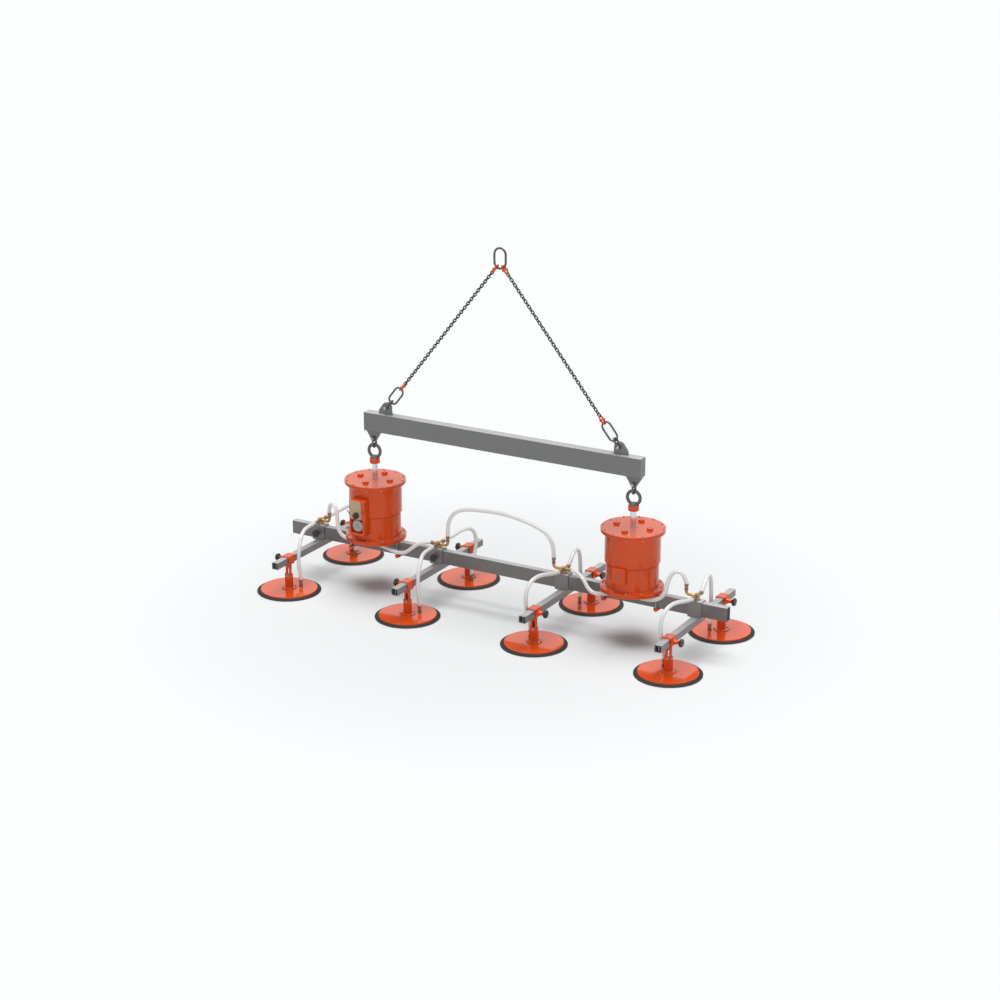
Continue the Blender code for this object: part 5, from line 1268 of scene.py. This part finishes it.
def star_knob(name, face, outward, body, *nodes):
    """A six-lobed black knob whose head starts at face and points outward, on a short neck."""
    place = standing(face, outward)
    bm = bmesh.new()
    head = KNOB_LENGTH - KNOB_NECK
    middle = place @ Matrix.Translation((0.0, 0.0, KNOB_NECK + head / 2))
    plate(bm, star(KNOB_RADIUS, 6, KNOB_DIP), head, middle, KNOB_DIP)
    turned(bm, [(0.0105, 0.0), (0.0120, 0.002), (0.0135, 0.0065)], face, outward, 28)
    fixed(f"{name}_head", bm, BLACK_PLASTIC, body, "black_plastic", *nodes)


# The tops of the arm, the sleeve and the saddle carry the painted highlight.
ARM_LIT_TOPS = (ARM_TOP, SLEEVE_TOP, SLEEVE_TOP + SADDLE_HEIGHT)
ARM_GREY = grey_paint("arm_grey", (0.170, 0.169, 0.167), (0.225, 0.224, 0.220), 1.1, lit_tops=ARM_LIT_TOPS)
for index, x in enumerate(ARM_X):
    body = f"arm_slide_{index + 1}"
    outward = FRONT if index < 2 else BACK
    bm = bmesh.new()
    outer = rounded((-SLEEVE_HALF, SLEEVE_BOTTOM), (SLEEVE_HALF, SLEEVE_TOP), 0.0050)
    room = BEAM_SIDE + SLIDE_PLAY
    inner = rounded((-room, BEAM_BOTTOM - SLIDE_PLAY), (room, BEAM_TOP + SLIDE_PLAY), 0.0050)
    hollow(bm, outer, inner, SLEEVE_LENGTH, sideways((x, 0.0, 0.0)))
    outer = rounded((-ARM_SIDE, ARM_BOTTOM), (ARM_SIDE, ARM_TOP), 0.0040)
    inner = rounded((-ARM_SIDE + 0.003, ARM_BOTTOM + 0.003), (ARM_SIDE - 0.003, ARM_TOP - 0.003), 0.0012)
    hollow(bm, outer, inner, 2 * ARM_REACH, upright((x, 0.0, 0.0)))
    low = (x - SADDLE_HALF, -SADDLE_HALF, SLEEVE_TOP - 0.001)
    block(bm, low, (x + SADDLE_HALF, SADDLE_HALF, SLEEVE_TOP + SADDLE_HEIGHT), 0.0010)
    fixed(f"arm_{index + 1}_frame", bm, ARM_GREY, body, "grey_paint", f"arm_{index + 1}")
    bm = bmesh.new()
    for edge in (-1, 1):
        seam_x, seam_y = x + edge * ARM_SIDE, edge * SLEEVE_HALF
        weld(bm, (seam_x, -SLEEVE_HALF, ARM_TOP + 0.0005), (seam_x, SLEEVE_HALF, ARM_TOP + 0.0005))
        weld(bm, (x - 0.018, seam_y, ARM_TOP + 0.0008), (x + 0.018, seam_y, ARM_TOP + 0.0008))
    fixed(f"arm_{index + 1}_welds", bm, ARM_GREY, body, "grey_paint", smooth_angle=60)
    bm = bmesh.new()
    for y in (-ARM_REACH + STOP_INSET, ARM_REACH - STOP_INSET):
        pin(bm, (x, y, (ARM_TOP + ARM_BOTTOM) / 2), UP, 0.0215)
    face = Vector((x, 0.0, (BEAM_TOP + BEAM_BOTTOM) / 2)) + outward * SLEEVE_HALF
    turned(bm, [(0.0040, -0.001), (0.0040, ARM_BOSS + 0.001)], face, outward, 16)
    bolt(bm, standing(face - outward * 0.001, outward), 0.0085, washer=False)
    fixed(f"arm_{index + 1}_pins", bm, PIN_STEEL, body, "grey_paint")
    star_knob(f"arm_{index + 1}_knob", face + outward * ARM_BOSS, outward, body)


# The brass fittings. On each arm's sleeve stands a block with two side barbs and a raised elbow;
# a tee hangs under each cylinder. Hexagon bodies and rolled collars hold the hoses.
BRASS_HALF = 0.0125
BARB_REACH = BARB_END - HOSE_PLAY
OUTER_REACH = OUTER_END - HOSE_PLAY
TEE_REACH = TEE_END - HOSE_PLAY
ELBOW_TOP = ELBOW_END - HOSE_PLAY
ELBOW_BEND = 0.016
ELBOW_FOOT = 0.022


def ferrule(bm, start, way, length):
    """A hose fitting: a hexagon foot, a plain neck and a ringed collar that meets the hose."""
    foot = min(0.012, length * 0.3)
    hexagon(bm, standing(start, way), 0.0108, foot, 0.0008)
    collar = length - 0.014
    turned(bm, [
        (0.0076, foot - 0.001), (0.0076, collar - 0.002), (0.0092, collar), (0.0112, collar + 0.0008),
        (0.0116, collar + 0.002), (0.0110, collar + 0.0034), (0.0116, collar + 0.005),
        (0.0110, collar + 0.0066), (0.0116, collar + 0.0082), (0.0112, length + 0.0012),
    ], start, way, 28)


for index, x in enumerate(ARM_X):
    inward = 1.0 if index < 2 else -1.0
    bm = bmesh.new()
    low = (x - BRASS_HALF, -BRASS_HALF, SLEEVE_TOP + SADDLE_HEIGHT + 0.0003)
    block(bm, low, (x + BRASS_HALF, BRASS_HALF, MANIFOLD_Z + BRASS_HALF), 0.0016, 3)
    collars = bmesh.new()
    middle = Vector((x, 0.0, MANIFOLD_Z))
    along = Vector((inward, 0.0, 0.0))
    root = BRASS_HALF - 0.001
    for side in (-1.0, 1.0):
        way = Vector((0.0, side, 0.0))
        ferrule(collars, middle + way * root, way, BARB_REACH - root)
    if index in (1, 2):
        ferrule(collars, middle - along * root, -along, OUTER_REACH - root)
    bend = [(inward * 0.0115, 0.0), (inward * 0.030, 0.0)]
    curve = arc((ELBOW_REACH - ELBOW_BEND, ELBOW_BEND), ELBOW_BEND, -90, 0, 8)
    bend += [(inward * across, up) for across, up in curve]
    bend += [(inward * ELBOW_REACH, 0.030)]
    tube(bm, [(x + across, 0.0, MANIFOLD_Z + up) for across, up in bend], 0.0078, 20)
    foot = middle + along * ELBOW_REACH + UP * ELBOW_FOOT
    ferrule(collars, foot, UP, ELBOW_TOP - ELBOW_FOOT)
    bolt(bm, standing(middle + along * (BRASS_HALF - 0.002), along), 0.0125, washer=False)
    fixed(f"manifold_{index + 1}", bm, BRASS, f"arm_slide_{index + 1}", "chrome")
    fixed(f"manifold_{index + 1}_ferrules", collars, AGED_BRASS, f"arm_slide_{index + 1}", "chrome")

for side, word in SIDES:
    x = side * CYLINDER_X
    bm = bmesh.new()
    collars = bmesh.new()
    middle = Vector((x, TEE_Y, TEE_Z))
    place = Matrix.Translation(middle)
    bmesh.ops.create_uvsphere(bm, u_segments=24, v_segments=14, radius=0.0130, matrix=place)
    for way in (-1.0, 1.0):
        ferrule(collars, middle + Vector((way * 0.010, 0.0, 0.0)), (way, 0.0, 0.0), TEE_REACH - 0.010)
    turned(bm, [(0.0078, 0.0), (0.0078, 0.0215)], middle, steps=24)
    bolt(bm, standing(middle + Vector((0.0, 0.0, 0.0155)), UP), 0.0085, washer=False)
    fixed(f"{word}_tee", bm, BRASS, "frame", "chrome")
    fixed(f"{word}_tee_ferrules", collars, AGED_BRASS, "frame", "chrome")


# The pad clamps. A bent orange hoop slides on the arm and is locked by a star knob; a slotted
# strap welded under it carries the suction cup and lets it float up and down.
HOOP_HALF = 0.026
HOOP_TOP_HALF = 0.031
HOOP_FOOT_HALF = 0.021
HOOP_ROOM = 0.021
STRAP_HALF = 0.01725
STRAP_THICKNESS = 0.010
CLAMP_BOSS = 0.030
ARM_MIDDLE = (ARM_TOP + ARM_BOTTOM) / 2
MAST_TOP = ARM_BOTTOM - 0.0637
PAD_BOLT_Z = MAST_TOP - 0.013
STRAP_BOTTOM = PAD_BOLT_Z - 0.011

for name, index, side, centre, nipple in pad_places():
    x, y = centre.x, centre.y
    outward = LEFT if index < 2 else RIGHT
    bm = bmesh.new()
    top, bottom = ARM_TOP + 0.006, ARM_BOTTOM - 0.006
    outer = rounded((-HOOP_HALF, bottom), (HOOP_HALF, top), 0.0045)
    inner = rounded((-HOOP_ROOM, ARM_BOTTOM - 0.001), (HOOP_ROOM, ARM_TOP + 0.001), 0.0020)
    hollow(bm, outer, inner, 2 * HOOP_TOP_HALF, upright((x, y, 0.0)))
    everything = bm.verts[:] + bm.edges[:] + bm.faces[:]
    bmesh.ops.bisect_plane(bm, geom=everything, dist=1e-7, plane_co=(x, y, ARM_MIDDLE), plane_no=UP)
    lowest = [vert for vert in bm.verts if vert.co.z < ARM_MIDDLE - 0.001]
    taper = Matrix.Diagonal((1.0, HOOP_FOOT_HALF / HOOP_TOP_HALF, 1.0, 1.0))
    bmesh.ops.transform(bm, matrix=taper, space=Matrix.Translation((-x, -y, 0.0)), verts=lowest)
    outer = rounded((-STRAP_HALF, STRAP_BOTTOM), (STRAP_HALF, bottom + 0.0015), 0.0080)
    slot = rounded((-0.0055, PAD_BOLT_Z - 0.0043), (0.0055, PAD_BOLT_Z + 0.0455), 0.0054)
    hollow(bm, outer, slot, STRAP_THICKNESS, upright((x, y, 0.0)))
    half = STRAP_THICKNESS / 2
    block(bm, (x - STRAP_HALF, y - half, bottom - 0.009), (x + STRAP_HALF, y + half, bottom + 0.001))
    middle = Vector((x, y, ARM_MIDDLE))
    turned(bm, [
        (0.0060, HOOP_HALF - 0.001), (0.0135, HOOP_HALF - 0.001), (0.0130, HOOP_HALF + 0.010),
        (0.0100, HOOP_HALF + CLAMP_BOSS - 0.004), (0.0095, HOOP_HALF + CLAMP_BOSS - 0.0008),
        (0.0085, HOOP_HALF + CLAMP_BOSS), (0.0060, HOOP_HALF + CLAMP_BOSS),
    ], middle, outward, 28, closed=True)
    fixed(f"clamp_{name}_hoop", bm, ORANGE, f"clamp_slide_{name}", "orange_paint", f"clamp_{name}")
    bm = bmesh.new()
    for edge in (-1, 1):
        seam_y = y + edge * half
        weld(bm, (x - 0.016, seam_y, bottom), (x + 0.016, seam_y, bottom), 0.0025)
    turned(bm, [
        (0.0130, HOOP_HALF - 0.0005), (0.0160, HOOP_HALF - 0.0005), (0.0145, HOOP_HALF + 0.0012),
        (0.0130, HOOP_HALF + 0.0024),
    ], middle, outward, 28, closed=True)
    fixed(f"clamp_{name}_welds", bm, ORANGE, f"clamp_slide_{name}", "orange_paint", smooth_angle=60)
    face = middle + outward * (HOOP_HALF + CLAMP_BOSS + 0.0003)
    star_knob(f"clamp_knob_{name}", face, outward, f"knob_{name}", f"clamp_knob_{name}")
    bm = bmesh.new()
    turned(bm, [
        (0.0036, 0.0), (0.0040, 0.0010), (0.0040, 0.0345),
    ], middle + outward * (ARM_SIDE + 0.0003), outward, 16)
    fixed(f"clamp_{name}_spindle", bm, PIN_STEEL, f"knob_{name}", "chrome")


# The suction cups. A pressed orange disc with a rolled rim, a bolted foot and a U-shaped mast;
# the bolt through the strap's slot holds the cup, and a brass nipple takes the hose.
DISC_RADIUS = 0.160
DISC_BOTTOM = DISC_TOP - 0.008
FOOT_TOP = DISC_TOP + 0.005
FOOT_RADIUS = 0.0445
FOOT_BOLT_CIRCLE = 0.0345
NIPPLE_LENGTH = 0.040
MAST_HALF = 0.021
MAST_WALL = 0.003
MAST_NEAR = -STRAP_THICKNESS / 2 - 0.001 - MAST_WALL
MAST_FAR = MAST_NEAR + 0.020

for name, index, side, centre, nipple in pad_places():
    x, y = centre.x, centre.y
    body = f"pad_float_{name}"
    bm = bmesh.new()
    turned(bm, [
        (DISC_RADIUS - 0.0035, DISC_TOP), (DISC_RADIUS - 0.0010, DISC_TOP - 0.0008),
        (DISC_RADIUS, DISC_TOP - 0.0030), (DISC_RADIUS, DISC_BOTTOM + 0.001),
        (DISC_RADIUS - 0.001, DISC_BOTTOM),
    ], (x, y, 0.0), steps=72)
    place = Matrix.Translation((x, y, FOOT_TOP - 0.003))
    plate(bm, arc((0.0, 0.0), FOOT_RADIUS, 22.5, 382.5, 8)[:-1], 0.006, place, 0.0008)
    inside = MAST_HALF - MAST_WALL
    right_half = [
        (MAST_HALF, MAST_NEAR), (MAST_HALF, MAST_FAR), (inside, MAST_FAR), (inside, MAST_NEAR + MAST_WALL)
    ]
    left_half = [(-across, depth) for across, depth in reversed(right_half[1:])]
    outline = [(-MAST_HALF, MAST_NEAR), *right_half, *left_half]
    height = MAST_TOP - FOOT_TOP + 0.001
    plate(bm, outline, height, Matrix.Translation((x, y, MAST_TOP - height / 2)), 0.0007)
    fixed(f"pad_{name}_disc", bm, ORANGE, body, "orange_paint", f"pad_{name}", smooth_angle=40)
    bm = bmesh.new()
    for turn in range(45, 360, 90):
        spot = round_spot(x, FOOT_BOLT_CIRCLE, turn, FOOT_TOP) + BACK * y
        bolt(bm, standing(spot, UP), 0.0050)
    bolt(bm, standing((x, y + MAST_NEAR, PAD_BOLT_Z), FRONT), 0.0066)
    bolt(bm, standing((x, y + STRAP_THICKNESS / 2 + 0.0003, PAD_BOLT_Z), BACK), 0.0060)
    pin(bm, (x, y, PAD_BOLT_Z), BACK, 0.0100, 0.0038)
    fixed(f"pad_{name}_bolts", bm, ZINC, body, "chrome")
    bm = bmesh.new()
    ferrule(bm, nipple - UP * (NIPPLE_LENGTH + 0.0005), UP, NIPPLE_LENGTH)
    fixed(f"pad_{name}_nipple", bm, AGED_BRASS, body, "chrome")


# The sealing rings. Black rubber lips pressed round each disc's rim: a thick collar that grips
# the disc, two grooves and a thin lip that spreads on the load.
SEAL_TOP = DISC_TOP - 0.006
SEAL_BOTTOM = DISC_BOTTOM - 0.005
RUBBER = plain_finish("black_rubber", (0.014, 0.014, 0.014), (0.026, 0.026, 0.026), 0.62, 24.0, ior=1.35)

for name, index, side, centre, nipple in pad_places():
    bm = bmesh.new()
    under = DISC_BOTTOM - 0.0003
    turned(bm, [
        (0.1430, under), (0.1603, under), (0.1603, SEAL_TOP - 0.0004), (0.1610, SEAL_TOP),
        (0.1632, SEAL_TOP - 0.0004), (0.1650, SEAL_TOP - 0.0022), (0.1662, SEAL_TOP - 0.0027),
        (0.1690, SEAL_TOP - 0.0030), (0.1706, SEAL_TOP - 0.0046), (0.1720, SEAL_TOP - 0.0050),
        (0.1755, SEAL_TOP - 0.0053), (0.1790, SEAL_BOTTOM + 0.0013), (0.1800, SEAL_BOTTOM + 0.0005),
        (0.1796, SEAL_BOTTOM), (0.1720, SEAL_BOTTOM + 0.0008), (0.1560, SEAL_BOTTOM + 0.0016),
        (0.1430, SEAL_BOTTOM + 0.0006), (0.1420, SEAL_BOTTOM), (0.1420, under - 0.0010),
    ], (centre.x, centre.y, 0.0), steps=72, closed=True)
    body = f"pad_float_{name}"
    fixed(f"seal_{name}_lip", bm, RUBBER, body, "black_rubber", f"seal_{name}", smooth_angle=50)


# The studio. A white floor and backdrop that keep the lifter's soft shadow, with painted shade on the
# floor round the lifter, and wide soft lamps above and beside it. The rubber lips hang just clear of the
# floor.
FLOOR_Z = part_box("seal_near_1")[0].z - 0.004
FLOOR_SIZE = 200.0
# The floor's tone is dimmed and tinted a little cool: painted shade round the lifter, and a tint that cancels
# the orange light bounced onto the floor.
FLOOR_TONE = (0.688, 0.704, 0.712, 1.0)
FAR_FLOOR_GLOW = 0.11
GLOW_START = 0.16
GLOW_REACH = 0.75


def studio_white():
    """White that the camera and the gloss see as the page away from the lifter, darker near it as painted
    shade, while it still takes the shadow.
    """
    finish = Finish("studio_white", base_color=FLOOR_TONE, roughness=0.9, specular_ior_level=0.0)
    paths = finish.node("ShaderNodeLightPath", {})
    glossy = Value(finish, paths.socket.node.outputs["Is Glossy Ray"])
    away = finish.node("ShaderNodeVectorMath", {"operation": "LENGTH"}, finish.place())
    # The glow rises only away from the lifter, so the floor near it stays dim: painted shade.
    glow = (paths + glossy).clamped() * ((away + FLOOR_Z - GLOW_START) / GLOW_REACH).clamped() * FAR_FLOOR_GLOW
    finish.set(emission_color=(1.0, 1.0, 1.0, 1.0))
    finish.join(finish.shader.inputs["Emission Strength"], glow)
    return finish.material


floor_sheet = bmesh.new()
bmesh.ops.create_grid(
    floor_sheet, x_segments=1, y_segments=1, size=FLOOR_SIZE / 2, matrix=Matrix.Translation(UP * FLOOR_Z)
)
floor_mesh = bpy.data.meshes.new("floor")
floor_sheet.to_mesh(floor_mesh)
floor_sheet.free()
floor_mesh.materials.append(studio_white())
floor = bpy.data.objects.new("floor", floor_mesh)
bpy.context.scene.collection.objects.link(floor)

world = bpy.data.worlds.new("studio")
bpy.context.scene.world = world
world.use_nodes = True
links = world.node_tree.links
plain = world.node_tree.nodes["Background"]
plain.inputs["Color"].default_value = (1.0, 1.0, 1.0, 1.0)
plain.inputs["Strength"].default_value = 0.05
page = world.node_tree.nodes.new("ShaderNodeBackground")
page.inputs["Strength"].default_value = 1.0
seen = world.node_tree.nodes.new("ShaderNodeLightPath")
share = seen.outputs["Is Camera Ray"]
for ray in ("Is Glossy Ray", "Is Transmission Ray"):
    either = world.node_tree.nodes.new("ShaderNodeMath")
    either.operation = "MAXIMUM"
    links.new(share, either.inputs[0])
    links.new(seen.outputs[ray], either.inputs[1])
    share = either.outputs[0]
blend_page = world.node_tree.nodes.new("ShaderNodeMixShader")
links.new(share, blend_page.inputs[0])
links.new(plain.outputs[0], blend_page.inputs[1])
links.new(page.outputs[0], blend_page.inputs[2])
links.new(blend_page.outputs[0], world.node_tree.nodes["World Output"].inputs["Surface"])


def sun(name, toward, angle, strength, mirrored=True):
    """A wide lamp that shines from toward. The gloss shows it only where it is mirrored."""
    light = bpy.data.lights.new(name, "SUN")
    light.angle = math.radians(angle)
    light.energy = strength
    obj = bpy.data.objects.new(name, light)
    obj.rotation_mode = "QUATERNION"
    obj.rotation_quaternion = Vector(toward).to_track_quat("Z", "Y")
    obj.visible_glossy = mirrored
    bpy.context.scene.collection.objects.link(obj)


sun("overhead", (-0.04, 0.06, 1.0), 46.0, 3.12)
sun("dome", (0.0, -0.15, 1.0), 110.0, 0.28)
sun("front_right", (0.55, -0.75, 0.40), 70.0, 1.05, mirrored=False)
bpy.context.scene.view_settings.view_transform = "Standard"
